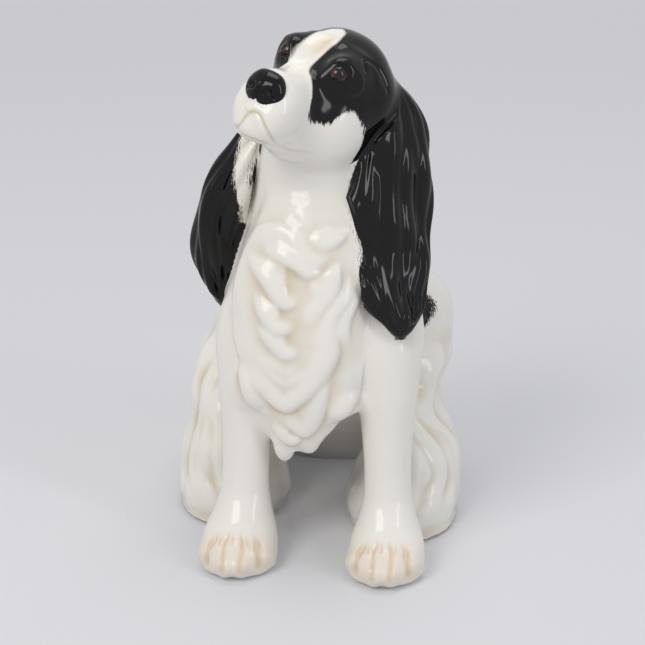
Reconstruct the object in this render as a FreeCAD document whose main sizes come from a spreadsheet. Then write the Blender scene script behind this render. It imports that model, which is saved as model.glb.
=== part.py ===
"""Seated spaniel ornament, slip-cast in glazed earthenware and built up from luted castings.

The dog faces -Y with its head turned to its own right, and stands on Z = 0.  The trunk and the head are hollow
castings; the ears, the chest ruff, the legs, the haunches and the tail are stuck onto them face to face.
Every casting is a loft through oval sections.  A smaller casting runs into the larger one that carries it and is
then cut back to that one's surface, as clay is trimmed before it is luted.
"""
import FreeCAD, Part
import os
from math import cos, pi, sqrt
from FreeCAD import Placement, Rotation, Vector

doc = FreeCAD.newDocument("seated_spaniel")

# Driving sizes in millimetres, with angles in degrees.
SIZES = {
    "trunk_height": 238, "trunk_width": 120, "trunk_depth": 124,
    "wall": 4.5, "vent_diameter": 7, "passage_diameter": 12,
    "head_rise_height": 19.3, "head_forward_distance": 2, "head_side_distance": 5.6,
    "head_yaw": 25.3, "head_pitch": 24.8, "head_roll": 14.2,
    "skull_length": 64, "skull_width": 65, "skull_height": 68,
    "muzzle_length": 32, "muzzle_width": 34, "muzzle_height": 40,
    "nose_width": 22, "nose_height": 19, "nose_depth": 13,
    "eye_diameter": 11, "eye_spacing": 34,
    "brow_length": 30, "brow_width": 22, "brow_height": 25,
    "cheek_length": 42, "cheek_width": 32, "cheek_height": 42,
    "left_ear_length": 135, "right_ear_length": 130, "ear_width": 53, "ear_thickness": 30,
    "ruff_height": 157, "ruff_width": 76, "ruff_depth": 40,
    "swag_height": 13, "swag_depth": 9,
    "foreleg_height": 168, "foreleg_width": 42, "foreleg_depth": 50, "foreleg_spacing": 82, "foreleg_side_distance": 2,
    "toe_diameter": 15,
    "haunch_height": 148, "haunch_width": 66, "haunch_depth": 90, "haunch_spacing": 100,
    "tail_length": 46, "tail_diameter": 24,
}
sheet = doc.addObject("Spreadsheet::Sheet", "sizes")
for row, (alias, value) in enumerate(SIZES.items(), start=1):
    sheet.set(f"A{row}", alias)
    sheet.set(f"B{row}", str(value))
    sheet.setAlias(f"B{row}", alias)
doc.recompute()
size = {alias: float(sheet.get(alias)) for alias in SIZES}

# The fullness of an oval's four arcs: the first makes a true ellipse, and the second squares it up a little.
ROUND = sqrt(0.5)
FULL = 0.8
# Sections that each loft runs through.
section_count = 16
head_section_count = 22
swag_section_count = 8

# Each row of a form is one level section: the shares of its height, of the places across and along the body that
# its centre has, and of its half width and half depth, then the turn in degrees where it has one.
trunk_shares = [
    (0.00, -0.050, 0.680, 0.330, 0.190),
    (0.05, -0.050, 0.645, 0.430, 0.270),
    (0.13, -0.050, 0.580, 0.500, 0.340),
    (0.23, -0.050, 0.470, 0.500, 0.420),
    (0.34, -0.040, 0.305, 0.490, 0.485),
    (0.44, -0.035, 0.145, 0.475, 0.500),
    (0.55, -0.017, 0.030, 0.450, 0.470),
    (0.65, -0.005, -0.030, 0.410, 0.410),
    (0.74, 0.000, -0.065, 0.350, 0.350),
    (0.82, -0.010, -0.080, 0.300, 0.295),
    (0.91, -0.012, -0.090, 0.280, 0.260),
    (1.00, 0.010, -0.097, 0.250, 0.235),
]
# The paw is the lowest four sections, and the shoulder the top one.
foreleg_shares = [
    (0.00, 0.500, -0.560, 0.430, 0.440),
    (0.05, 0.500, -0.560, 0.500, 0.500),
    (0.10, 0.500, -0.540, 0.488, 0.460),
    (0.16, 0.500, -0.485, 0.380, 0.360),
    (0.24, 0.490, -0.445, 0.315, 0.270),
    (0.42, 0.476, -0.403, 0.335, 0.290),
    (0.60, 0.463, -0.371, 0.420, 0.360),
    (0.77, 0.440, -0.290, 0.500, 0.480),
    (0.89, 0.360, -0.180, 0.470, 0.460),
    (1.00, 0.240, -0.080, 0.240, 0.260),
]
# The two haunches differ, because the dog leans a little to its right.
left_haunch_shares = [
    (0.00, 0.470, -0.048, 0.490, 0.450),
    (0.07, 0.455, -0.016, 0.508, 0.456),
    (0.18, 0.470, 0.032, 0.470, 0.478),
    (0.31, 0.510, 0.113, 0.333, 0.500),
    (0.43, 0.430, 0.210, 0.303, 0.500),
    (0.51, 0.410, 0.266, 0.379, 0.478),
    (0.59, 0.415, 0.323, 0.455, 0.433),
    (0.72, 0.420, 0.363, 0.447, 0.389),
    (0.81, 0.410, 0.363, 0.417, 0.344),
    (0.89, 0.360, 0.331, 0.333, 0.267),
    (0.96, 0.290, 0.282, 0.197, 0.156),
    (1.00, 0.240, 0.250, 0.076, 0.067),
]
right_haunch_shares = [
    (0.00, -0.540, 0.020, 0.490, 0.440),
    (0.07, -0.540, 0.050, 0.508, 0.460),
    (0.18, -0.540, 0.097, 0.470, 0.467),
    (0.34, -0.565, 0.177, 0.341, 0.511),
    (0.51, -0.550, 0.274, 0.364, 0.489),
    (0.62, -0.510, 0.355, 0.364, 0.422),
    (0.72, -0.470, 0.379, 0.341, 0.378),
    (0.81, -0.410, 0.363, 0.288, 0.322),
    (0.91, -0.320, 0.315, 0.197, 0.222),
    (1.00, -0.240, 0.250, 0.076, 0.067),
]
# The ruff is told from its tip up, and its places across and along the body are shares of its own width and depth.
ruff_shares = [
    (0.00, -0.140, -0.050, 0.040, 0.100),
    (0.03, -0.115, -0.050, 0.125, 0.175),
    (0.07, -0.100, -0.038, 0.210, 0.250),
    (0.13, -0.090, -0.025, 0.285, 0.325),
    (0.21, -0.075, 0.000, 0.360, 0.425),
    (0.30, -0.065, 0.025, 0.420, 0.475),
    (0.45, -0.080, 0.100, 0.490, 0.500),
    (0.61, -0.110, 0.225, 0.470, 0.475),
    (0.76, -0.060, 0.375, 0.420, 0.425),
    (0.90, -0.010, 0.550, 0.330, 0.325),
    (1.00, 0.000, 0.800, 0.200, 0.200),
]
# Each ear is told from its root down: the drop, the places, the half width and half thickness, and the turn.
left_ear_shares = [
    (0.00, 0.362, 0.200, 0.047, 0.083, 46),
    (0.04, 0.457, 0.167, 0.132, 0.200, 46),
    (0.13, 0.557, 0.117, 0.245, 0.300, 44),
    (0.27, 0.600, -0.073, 0.377, 0.383, 40),
    (0.41, 0.589, -0.293, 0.453, 0.440, 38),
    (0.55, 0.570, -0.450, 0.500, 0.450, 36),
    (0.67, 0.596, -0.587, 0.481, 0.440, 34),
    (0.76, 0.674, -0.833, 0.425, 0.420, 33),
    (0.85, 0.734, -1.100, 0.340, 0.393, 32),
    (0.92, 0.774, -1.317, 0.245, 0.320, 31),
    (0.97, 0.785, -1.450, 0.136, 0.200, 30),
    (1.00, 0.789, -1.500, 0.047, 0.083, 30),
]
right_ear_shares = [
    (0.00, -0.392, 0.600, 0.047, 0.083, 56),
    (0.05, -0.487, 0.550, 0.123, 0.217, 56),
    (0.11, -0.594, 0.517, 0.198, 0.283, 56),
    (0.18, -0.702, 0.517, 0.255, 0.350, 56),
    (0.33, -0.898, 0.467, 0.330, 0.433, 54),
    (0.49, -1.060, 0.400, 0.377, 0.460, 52),
    (0.64, -1.158, 0.327, 0.387, 0.450, 50),
    (0.77, -1.196, 0.240, 0.340, 0.417, 50),
    (0.88, -1.177, 0.160, 0.255, 0.340, 50),
    (0.96, -1.151, 0.083, 0.136, 0.217, 50),
    (1.00, -1.147, 0.067, 0.057, 0.117, 50),
]
# A swag of hair across the ruff: the share of its half width, its sag in shares of its half width, and its girth.
swag_shares = [
    (-1.00, 0.00, 0.10),
    (-0.70, -0.35, 0.70),
    (-0.35, -0.80, 1.00),
    (0.00, -1.00, 1.00),
    (0.35, -0.80, 0.95),
    (0.70, -0.35, 0.60),
    (1.00, 0.00, 0.10),
]
# Where each swag hangs from: the share of the ruff's height, the share of its half width there, and the sag.
swag_place_shares = [(0.36, 0.74, 0.62), (0.55, 0.62, 0.55), (0.70, 0.58, 0.50), (0.84, 0.62, 0.30)]
# Sections of the head square to the line of sight of the dog, from the back of the skull to the stop: the share of
# the skull's length forward of its middle, the drop of the section's middle, and its half width and half height.
skull_shares = [
    (-0.52, -0.03, 0.050, 0.050),
    (-0.47, -0.03, 0.190, 0.180),
    (-0.34, -0.02, 0.345, 0.340),
    (-0.17, -0.03, 0.460, 0.455),
    (0.00, -0.05, 0.500, 0.515),
    (0.19, -0.10, 0.465, 0.530),
    (0.34, -0.17, 0.405, 0.490),
    (0.47, -0.25, 0.330, 0.385),
]
# The muzzle goes on from there in shares of its own length, width and height.
muzzle_shares = [
    (0.25, -0.50, 0.530, 0.530),
    (0.56, -0.52, 0.485, 0.490),
    (0.81, -0.55, 0.440, 0.460),
    (0.95, -0.58, 0.350, 0.390),
    (1.03, -0.60, 0.210, 0.250),
    (1.06, -0.60, 0.060, 0.075),
]
# The tail lies round the back of the rump: places along its own length, then outward and upward in its thickness.
tail_shares = [
    (-0.20, -0.600, 0.750, 0.500),
    (0.10, 0.000, 0.680, 0.500),
    (0.40, 0.120, 0.600, 0.480),
    (0.70, 0.000, 0.540, 0.420),
    (0.90, -0.200, 0.480, 0.300),
    (1.00, -0.350, 0.460, 0.100),
]
# Toes on a paw: place across in half paw widths, place along in half paw depths from the middle of the paw, and
# height in toe diameters.
toe_shares = [(-0.66, -0.60, 0.53), (-0.24, -0.86, 0.58), (0.23, -0.84, 0.60), (0.65, -0.57, 0.55)]
# Where each centre lies on the head, in halves of the skull's length and height.
eye_place_shares = (0.88, 0.24)
brow_place_shares = (0.62, 0.22, 0.20)
cheek_place_shares = (0.22, 0.24, -0.62)


def closed_curve(corners):
    """A smooth closed wire of four conic arcs, from the middle, the two half axes and the fullness."""
    middle, half_across, half_along, fullness = corners
    ends = [half_across, half_along, -half_across, -half_along]
    edges = []
    for start, end in zip(ends, ends[1:] + ends[:1]):
        arc = Part.BezierCurve()
        arc.setPoles([middle + start, middle + start + end, middle + end])
        arc.setWeight(2, fullness)
        edges.append(arc.toShape())
    return Part.Wire(edges)


def read_row(rows, level):
    """The values at a level between rows, on a curve that runs through each row without a corner."""
    span = max(i for i in range(len(rows) - 1) if i == 0 or rows[i][0] <= level)
    before, low, high, after = (rows[min(max(i, 0), len(rows) - 1)] for i in range(span - 1, span + 3))
    gap = high[0] - low[0]
    part = (level - low[0]) / gap
    values = [level]
    for i in range(1, len(low)):
        leaving = (high[i] - before[i]) / (high[0] - before[0]) * gap
        arriving = (after[i] - low[i]) / (after[0] - low[0]) * gap
        values.append((2 * part ** 3 - 3 * part ** 2 + 1) * low[i] + (part ** 3 - 2 * part ** 2 + part) * leaving
                      + (3 * part ** 2 - 2 * part ** 3) * high[i] + (part ** 3 - part ** 2) * arriving)
    return tuple(values)


def spaced(rows, count):
    """The rows read again at levels that crowd towards both ends, so a loft through them runs smoothly."""
    first, last = rows[0][0], rows[-1][0]
    return [read_row(rows, first + (last - first) * (1 - cos(pi * i / (count - 1))) / 2) for i in range(count)]


def section(name, corners):
    """A document object that holds one section wire."""
    feature = doc.addObject("Part::Feature", name)
    feature.Shape = closed_curve(corners)
    return feature


def loft(name, wires):
    """A solid loft through the wires, with flat ends."""
    feature = doc.addObject("Part::Loft", name)
    feature.Sections = [section(f"{name}_section_{i}", corners) for i, corners in enumerate(wires)]
    feature.Solid = True
    feature.Ruled = False
    return feature


def level_oval(middle, half_across, half_along, turn=0.0):
    """A section that lies level at the height of its middle."""
    spin = Rotation(Vector(0, 0, 1), turn)
    return (middle, spin.multVec(Vector(half_across, 0, 0)), spin.multVec(Vector(0, half_along, 0)), ROUND)


def stack(shares, height, across, along, half_width, half_depth, side=0.0):
    """Level sections of a form whose places follow one pair of sizes and whose girth follows another."""
    wires = []
    for row in spaced(shares, section_count):
        level, place_across, place_along, wide, deep = row[:5]
        turn = row[5] if len(row) > 5 else 0.0
        middle = Vector(side + place_across * across, place_along * along, level * height)
        wires.append(level_oval(middle, wide * half_width, deep * half_depth, turn))
    return wires


def bound(kind, name, **expressions):
    """A primitive whose sizes are bound to the sheet."""
    feature = doc.addObject(kind, name)
    for prop, expression in expressions.items():
        feature.setExpression(prop, expression)
    return feature


def fuse(name, features):
    """One solid out of several that run into each other."""
    feature = doc.addObject("Part::MultiFuse", name)
    feature.Shapes = features
    return feature


def cut_back(name, base, tools):
    """The base trimmed to the surface of each tool in turn."""
    for i, tool in enumerate(tools):
        last = i == len(tools) - 1
        feature = doc.addObject("Part::Cut", name if last else f"{name}_trim_{i}")
        feature.Base = base
        feature.Tool = tool
        base = feature
    return base


def trunk_middle(level):
    """The middle of the trunk at a share of its height."""
    row = read_row(trunk_shares, level)
    return Vector(row[1] * size["trunk_width"], row[2] * size["trunk_depth"], level * size["trunk_height"])


# The trunk: a hollow casting with a firing vent under the rump and a passage up into the head.
trunk_form = loft("trunk_form", stack(trunk_shares, size["trunk_height"], size["trunk_width"], size["trunk_depth"],
                                      size["trunk_width"], size["trunk_depth"]))
wall = size["wall"]
inner_height = size["trunk_height"] - 2 * wall
cavity_wires = []
for level, place_across, place_along, wide, deep in spaced(trunk_shares, section_count):
    middle = Vector(place_across * size["trunk_width"], place_along * size["trunk_depth"],
                    wall + level * inner_height)
    cavity_wires.append(level_oval(middle, wide * size["trunk_width"] - wall, deep * size["trunk_depth"] - wall))
trunk_cavity = loft("trunk_cavity", cavity_wires)
foot_middle = trunk_middle(0)
neck_middle = trunk_middle(1)
vent = bound("Part::Cylinder", "vent", Radius="sizes.vent_diameter / 2", Height="sizes.wall * 4")
vent.Placement = Placement(foot_middle - Vector(0, 0, 2 * wall), Rotation())
passage = bound("Part::Cylinder", "passage", Radius="sizes.passage_diameter / 2", Height="sizes.wall * 4")
passage.Placement = Placement(neck_middle - Vector(0, 0, 2 * wall), Rotation())
trunk = cut_back("trunk", trunk_form, [trunk_cavity, vent, passage])

# The head: skull and muzzle in one loft, with cheeks, eyes and nose, turned and raised on the neck.
head_middle = neck_middle + Vector(size["head_side_distance"], -size["head_forward_distance"], size["head_rise_height"])
head_turn = (Rotation(Vector(0, 0, 1), -90 - size["head_yaw"])
             * Rotation(Vector(0, 1, 0), -size["head_pitch"])
             * Rotation(Vector(1, 0, 0), -size["head_roll"]))
head_frame = Placement(head_middle, head_turn)


def head_point(forward, left, up):
    """A place told from the middle of the skull, ahead, to the dog's left and up."""
    return head_frame.multVec(Vector(forward, left, up))


def head_section(forward, drop, half_width, half_height):
    """A section square to the way the dog looks."""
    return (head_point(forward, 0, drop), head_turn.multVec(Vector(0, half_width, 0)),
            head_turn.multVec(Vector(0, 0, half_height)), FULL)


stop = size["skull_length"] / 2
head_rows = [(forward * size["skull_length"], drop * size["skull_height"],
              wide * size["skull_width"], high * size["skull_height"]) for forward, drop, wide, high in skull_shares]
head_rows += [(stop + forward * size["muzzle_length"], drop * size["muzzle_height"],
               wide * size["muzzle_width"], high * size["muzzle_height"])
              for forward, drop, wide, high in muzzle_shares]
skull_and_muzzle = loft("skull_and_muzzle", [head_section(*row) for row in spaced(head_rows, head_section_count)])


def head_ball(name, middle, length, width, height):
    """An egg shape on the head, bound to the sizes named for its length, width and height."""
    ball = bound("Part::Ellipsoid", name, Radius2=f"sizes.{length} / 2", Radius3=f"sizes.{width} / 2",
                 Radius1=f"sizes.{height} / 2")
    ball.Placement = Placement(head_point(*middle), head_turn)
    return ball


nose_forward = stop + size["muzzle_length"] * 0.9
nose = head_ball("nose", (nose_forward, 0, -size["muzzle_height"] * 0.31), "nose_depth", "nose_width", "nose_height")
features_of_head = [skull_and_muzzle, nose]
for side, sign in (("left", 1), ("right", -1)):
    eye_forward = eye_place_shares[0] * size["skull_length"] / 2
    eye_up = eye_place_shares[1] * size["skull_height"] / 2
    features_of_head.append(head_ball(f"{side}_eye", (eye_forward, sign * size["eye_spacing"] / 2, eye_up),
                                      "eye_diameter", "eye_diameter", "eye_diameter"))
    for feature, (forward, side_share, up) in (("brow", brow_place_shares), ("cheek", cheek_place_shares)):
        middle = (forward * size["skull_length"] / 2, sign * side_share * size["skull_width"],
                  up * size["skull_height"] / 2)
        features_of_head.append(head_ball(f"{side}_{feature}", middle, f"{feature}_length", f"{feature}_width",
                                          f"{feature}_height"))
head_form = fuse("head_form", features_of_head)
head_cavity = bound("Part::Ellipsoid", "head_cavity", Radius2="sizes.skull_length / 2 - sizes.wall",
                    Radius3="sizes.skull_width / 2 - sizes.wall", Radius1="sizes.skull_height / 2 - 2 * sizes.wall")
head_cavity.Placement = head_frame
head = cut_back("head", head_form, [trunk_form, head_cavity])

# The forelegs stand clear of the haunches and run up into the shoulders.  Each toe is a ball whose seam is turned
# back into the paw.
seam_inward = Rotation(Vector(0, 0, 1), 90)
legs = {}
for side, sign in (("left", 1), ("right", -1)):
    spacing = sign * size["foreleg_spacing"]
    leg_wires = stack(foreleg_shares, size["foreleg_height"], spacing, size["trunk_depth"],
                      size["foreleg_width"], size["foreleg_depth"], size["foreleg_side_distance"])
    leg_loft = loft(f"{side}_foreleg_loft", leg_wires)
    paw_middle = Vector(size["foreleg_side_distance"] + foreleg_shares[1][1] * spacing,
                        foreleg_shares[1][2] * size["trunk_depth"], 0)
    toes = []
    for i, (across, along, up) in enumerate(toe_shares):
        toe = bound("Part::Sphere", f"{side}_toe_{i}", Radius="sizes.toe_diameter / 2")
        toe_middle = paw_middle + Vector(across * size["foreleg_width"] / 2, along * size["foreleg_depth"] / 2,
                                         up * size["toe_diameter"])
        toe.Placement = Placement(toe_middle, seam_inward)
        toes.append(toe)
    legs[side] = fuse(f"{side}_foreleg_form", [leg_loft] + toes)
left_foreleg = cut_back("left_foreleg", legs["left"], [trunk_form])
right_foreleg = cut_back("right_foreleg", legs["right"], [trunk_form])

# The haunches, with the feathering that hangs to the floor.
haunches = {}
for side, shares in (("left", left_haunch_shares), ("right", right_haunch_shares)):
    haunches[side] = loft(f"{side}_haunch_form", stack(shares, size["haunch_height"], size["haunch_spacing"],
                                                       size["trunk_depth"], size["haunch_width"],
                                                       size["haunch_depth"]))
left_haunch = cut_back("left_haunch", haunches["left"], [trunk_form, legs["left"]])
right_haunch = cut_back("right_haunch", haunches["right"], [trunk_form, legs["right"]])

# The chest ruff hangs from the throat to a tip between the forelegs.
chest_front = trunk_middle(0.44).y - size["trunk_depth"] / 2
ruff_top = 0.91 * size["trunk_height"]


def ruff_oval(level):
    """The middle, half width and half depth of the ruff at a share of its height."""
    across, along, wide, deep = read_row(ruff_shares, level)[1:]
    middle = Vector(across * size["ruff_width"], chest_front - size["wall"] * 3 + along * size["ruff_depth"],
                    ruff_top - (1 - level) * size["ruff_height"])
    return middle, wide * size["ruff_width"], deep * size["ruff_depth"]


def swag(name, hung_from, width_share, sag_share):
    """A roll of hair that hangs across the front of the ruff, half sunk in it."""
    half_width = ruff_oval(hung_from)[1] * width_share
    wires = []
    for across, sag, girth in spaced(swag_shares, swag_section_count):
        drop = sag * sag_share * half_width / size["ruff_height"]
        middle, wide, deep = ruff_oval(hung_from + drop)
        out = deep * sqrt(1 - (across * half_width / wide) ** 2)
        place = middle + Vector(across * half_width, -out, 0)
        wires.append((place, Vector(0, girth * size["swag_depth"] / 2, 0),
                      Vector(0, 0, girth * size["swag_height"] / 2), ROUND))
    return loft(name, wires)


ruff_wires = [level_oval(*ruff_oval(row[0])) for row in spaced(ruff_shares, section_count)]
swags = [swag(f"swag_{i}", *place) for i, place in enumerate(swag_place_shares)]
ruff_form = fuse("chest_ruff_form", [loft("chest_ruff_loft", ruff_wires)] + swags)
chest_ruff = cut_back("chest_ruff", ruff_form, [trunk_form, legs["left"], legs["right"], head_form])


def ear(side, shares, length_name, root_rise):
    """One ear, hung from beside the skull and lying on the neck and shoulder."""
    root = head_middle + Vector(0, 0, root_rise * size["skull_height"])
    wires = []
    for drop, across, along, wide, thick, turn in spaced(shares, section_count):
        middle = root + Vector(across * size["ear_width"], along * size["ear_thickness"], -drop * size[length_name])
        wires.append(level_oval(middle, wide * size["ear_width"], thick * size["ear_thickness"], turn))
    form = loft(f"{side}_ear_form", wires)
    return cut_back(f"{side}_ear", form, [head_form, trunk_form, legs[side], ruff_form])


left_ear = ear("left", left_ear_shares, "left_ear_length", 0.16)
right_ear = ear("right", right_ear_shares, "right_ear_length", 0.01)

# The tail lies round the back of the rump on the dog's left.
rump = trunk_middle(0.05)
rump_back = rump.y + 0.27 * size["trunk_depth"]
tail_wires = []
for along, outward, up, thick in spaced(tail_shares, section_count):
    middle = Vector(along * size["tail_length"], rump_back + outward * size["tail_diameter"],
                    up * size["tail_diameter"])
    radius = thick * size["tail_diameter"]
    tail_wires.append((middle, Vector(0, radius, 0), Vector(0, 0, radius), ROUND))
tail_form = loft("tail_form", tail_wires)
tail = cut_back("tail", tail_form, [trunk_form, haunches["left"], haunches["right"]])

sub_parts = [trunk, head, left_ear, right_ear, chest_ruff, left_foreleg, right_foreleg, left_haunch, right_haunch,
             tail]
doc.recompute()

# The origin is on the standing surface, under the middle of the whole ornament.
whole = FreeCAD.BoundBox()
for part in sub_parts:
    whole.add(part.Shape.optimalBoundingBox(False, False))
to_origin = Vector(-whole.Center.x, -whole.Center.y, -whole.ZMin)
for part in sub_parts:
    part.Label = part.Name
    part.Placement = Placement(to_origin, Rotation())
doc.recompute()

for item in doc.Objects:
    if "Invalid" in item.State or "Error" in item.State:
        raise RuntimeError(f"{item.Name} failed to build")
for part in sub_parts:
    if part.Shape.isNull() or not part.Shape.isValid() or len(part.Shape.Solids) != 1:
        raise RuntimeError(f"{part.Label} is not one sound solid")

os.makedirs("parts", exist_ok=True)
for part in sub_parts:
    part.Shape.exportStep(f"parts/{part.Label}.step")
    print(part.Label, round(part.Shape.Volume), "cubic mm")
print("moved to the origin by", to_origin)
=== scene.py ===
"""Seated spaniel ornament in black and white glazed earthenware: its surfaces, glazes, light and camera.

Every casting is a closed surface grown outwards from a line inside it, until it meets one common skin:
the blended union of the castings, as clay is smoothed over its joints before firing. Relief is then
raised out of it, and paint is laid on it as values at its points. All shapes are worked out in body
millimetres, in which the dog faces -Y, stands on Z = 0 and has its left side on +X.
"""

import functools
import math

import bpy
import numpy as np
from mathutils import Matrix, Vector


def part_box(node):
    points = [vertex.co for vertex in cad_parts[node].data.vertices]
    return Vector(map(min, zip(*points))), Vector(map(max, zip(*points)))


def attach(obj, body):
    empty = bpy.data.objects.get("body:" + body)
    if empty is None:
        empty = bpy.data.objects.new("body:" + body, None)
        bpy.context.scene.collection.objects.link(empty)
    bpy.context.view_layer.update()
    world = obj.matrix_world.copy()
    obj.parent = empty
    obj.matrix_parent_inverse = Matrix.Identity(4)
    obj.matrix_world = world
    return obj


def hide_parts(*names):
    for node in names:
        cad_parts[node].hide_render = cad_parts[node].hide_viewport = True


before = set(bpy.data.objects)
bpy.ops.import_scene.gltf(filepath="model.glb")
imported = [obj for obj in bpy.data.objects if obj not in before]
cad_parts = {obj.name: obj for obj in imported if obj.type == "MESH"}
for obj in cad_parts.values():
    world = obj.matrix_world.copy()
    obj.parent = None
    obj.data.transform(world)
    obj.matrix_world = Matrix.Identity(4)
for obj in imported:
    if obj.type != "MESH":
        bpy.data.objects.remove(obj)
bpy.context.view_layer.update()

bl_info = {
    "name": "Seated Spaniel Ornament",
    "version": (1, 0, 0),
    "blender": (4, 5, 0),
    "location": "3D View > Sidebar > Spaniel",
    "description": "Builds the glazed pieces of a seated spaniel ornament and the studio round it",
    "category": "Object",
}

# Body millimetres to the frame's metres
MM = 0.001
# The middle of the trunk's box in body millimetres, across and along the body
TRUNK_MIDDLE = (-6.05, 29.54)


def body_origin():
    """Where the body's own origin lies in the frame, in millimetres."""
    low, high = (np.array(corner[:2]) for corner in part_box("trunk"))
    return np.append((low + high) / 2 / MM - TRUNK_MIDDLE, 0.0)


ORIGIN = body_origin()

# Castings that are stacks of level ovals: each row is the height, the place of the middle, the half
# width, the half depth and, where there is one, the turn in degrees.
TRUNK_ROWS = [
    (0, -6, 84, 40, 24), (12, -6, 80, 52, 33), (31, -6, 72, 60, 42), (55, -6, 58, 60, 52),
    (81, -5, 38, 59, 60), (105, -4, 18, 57, 62), (131, -2, 4, 54, 58), (155, -1, -4, 49, 51),
    (176, 0, -8, 42, 43), (195, -1, -10, 36, 37), (217, -1, -11, 33, 32), (238, 1, -12, 30, 29),
    (252, 4, -13, 22, 22),
]
RUFF_ROWS = [
    (66, -9, -60, 7, 6), (71, -8, -59, 14, 10), (80, -7, -58.5, 21, 13), (92, -6, -57.5, 27, 17),
    (107, -5, -56.5, 32, 19), (130, -6, -53.5, 37, 20), (155, -8, -48.5, 36, 19), (179, -5, -42.5, 32, 17),
    (201, -1, -35.5, 24, 13), (214, 0, -27, 14, 8),
]
LEFT_FORELEG_ROWS = [
    (0, 43, -69.4, 18, 22), (8, 43, -69.4, 21, 25), (17, 43, -67, 20, 23), (27, 42.5, -60, 16, 18),
    (40, 42, -55, 13.2, 13.5), (71, 41, -50, 14, 14.5), (101, 40, -46, 17.6, 18), (129, 38, -36, 21, 24),
    (150, 31.5, -22, 20, 23), (164, 23, -12, 12, 15),
]
# The forelegs mirror each other about a plane a little to the dog's left, and their paws stand this far
# from it
LEG_MIDLINE, PAW_ASIDE = 2, 41
RIGHT_FORELEG_ROWS = [(z, 2 * LEG_MIDLINE - x, y, half_width, half_depth)
                      for z, x, y, half_width, half_depth in LEFT_FORELEG_ROWS]
LEFT_HAUNCH_ROWS = [
    (0, 47, -6, 32, 40), (10, 45.5, -2, 33.5, 41), (26, 47, 4, 31, 43), (46, 51, 14, 22, 45),
    (63, 43, 26, 20, 45), (75, 41, 33, 25, 43), (88, 41.5, 40, 30, 39), (106, 42, 45, 29.5, 35),
    (120, 41, 45, 27.5, 31), (132, 36, 41, 22, 24), (142, 29, 35, 13, 14), (148, 24, 31, 5, 6),
]
RIGHT_HAUNCH_ROWS = [
    (0, -54, 2.5, 32, 40), (10, -54, 6, 33.5, 41), (26, -54, 12, 31, 42), (50, -56.5, 22, 22.5, 46),
    (75, -55, 34, 24, 44), (92, -51, 44, 24, 38), (106, -47, 47, 22.5, 34), (120, -41, 45, 19, 29),
    (134, -32, 39, 13, 20), (148, -24, 31, 5, 6),
]
LEFT_EAR_ROWS = [
    (133, 48.6, -59, 2.5, 2.5, 30), (137, 48.4, -57.5, 7, 6, 30), (144, 47.8, -53, 13, 9.6, 31),
    (153, 45.7, -46.5, 18, 11.8, 32), (165, 42.5, -39, 22.5, 12.6, 33), (177, 38.4, -31.5, 25.5, 13.2, 34),
    (193, 37, -27.5, 26.5, 13.5, 36), (213, 38, -22.8, 24, 13.2, 38), (232, 38.6, -16.2, 20, 11.5, 40),
    (251, 36.3, -10.5, 13, 9, 44), (262, 31, -9, 7, 6, 46), (268, 26, -8, 2.5, 2.5, 46),
]
RIGHT_EAR_ROWS = [
    (128, -54, -12, 3, 3.5, 50), (133, -54.2, -11.5, 7.2, 6.5, 50), (144, -55.6, -9.2, 13.5, 10.2, 50),
    (158, -56.6, -6.8, 18, 12.5, 50), (175, -54.6, -4.2, 20.5, 13.5, 50), (194, -49.4, -2, 20, 13.8, 52),
    (215, -40.8, 0, 17.5, 13, 54), (235, -30.4, 1.5, 13.5, 10.5, 56), (244, -24.7, 1.5, 10.5, 8.5, 56),
    (252, -19, 2.5, 6.5, 6.5, 56), (258, -14, 4, 2.5, 2.5, 56),
]
# The head's rows run forward from the back of the skull: the place ahead, no place aside, the drop of the
# middle, and the half width and half height.
SKULL_ROWS = [
    (-33, 0, -2, 3, 3), (-30, 0, -2, 12, 12), (-22, 0, -1, 22.5, 23), (-11, 0, -2, 30, 31),
    (0, 0, -3, 32.5, 35), (12, 0, -7, 30, 36), (22, 0, -12, 26, 33), (30, 0, -17, 21.5, 26),
    (38, 0, -20, 18, 21.5), (48, 0, -21, 16.5, 19.5), (56, 0, -22, 15, 18.5), (61, 0, -23, 12, 16),
    (64, 0, -24, 7, 10), (65, 0, -24, 2, 3),
]
HEAD_MIDDLE = (6.8, -14, 257.3)
HEAD_YAW, HEAD_PITCH, HEAD_ROLL = 25.3, 24.8, 14.2
# The tail lies round the back of the rump: the place along the body's width, then its place back and up,
# and its half thicknesses.
TAIL_ROWS = [
    (-6, 103, 17, 11, 11), (6, 114, 16, 12, 12), (20, 117, 14.5, 11.5, 11.5), (34, 113, 13, 10, 10),
    (43, 108, 12, 7, 7), (47, 105, 11.5, 2.5, 2.5),
]


def read_rows(rows, levels):
    """The rows' values at any levels, on a smooth curve through each row: Hermite's cubic in each span."""
    table = np.array([row + (0,) * (6 - len(row)) for row in rows], float)
    levels = np.clip(levels, table[0, 0], table[-1, 0])
    last = len(table) - 1
    span = np.clip(np.searchsorted(table[:, 0], levels, side="right") - 1, 0, last - 1)
    before, low, high, after = (table[np.clip(span + step, 0, last)] for step in (-1, 0, 1, 2))
    gap = high[:, :1] - low[:, :1]
    part = (levels[:, None] - low[:, :1]) / gap
    leaving = (high - before) / (high[:, :1] - before[:, :1]) * gap
    arriving = (after - low) / (after[:, :1] - low[:, :1]) * gap
    values = ((2 * part ** 3 - 3 * part ** 2 + 1) * low + (part ** 3 - 2 * part ** 2 + part) * leaving
              + (3 * part ** 2 - 2 * part ** 3) * high + (part ** 3 - part ** 2) * arriving)
    return values[:, 1:]


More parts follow.
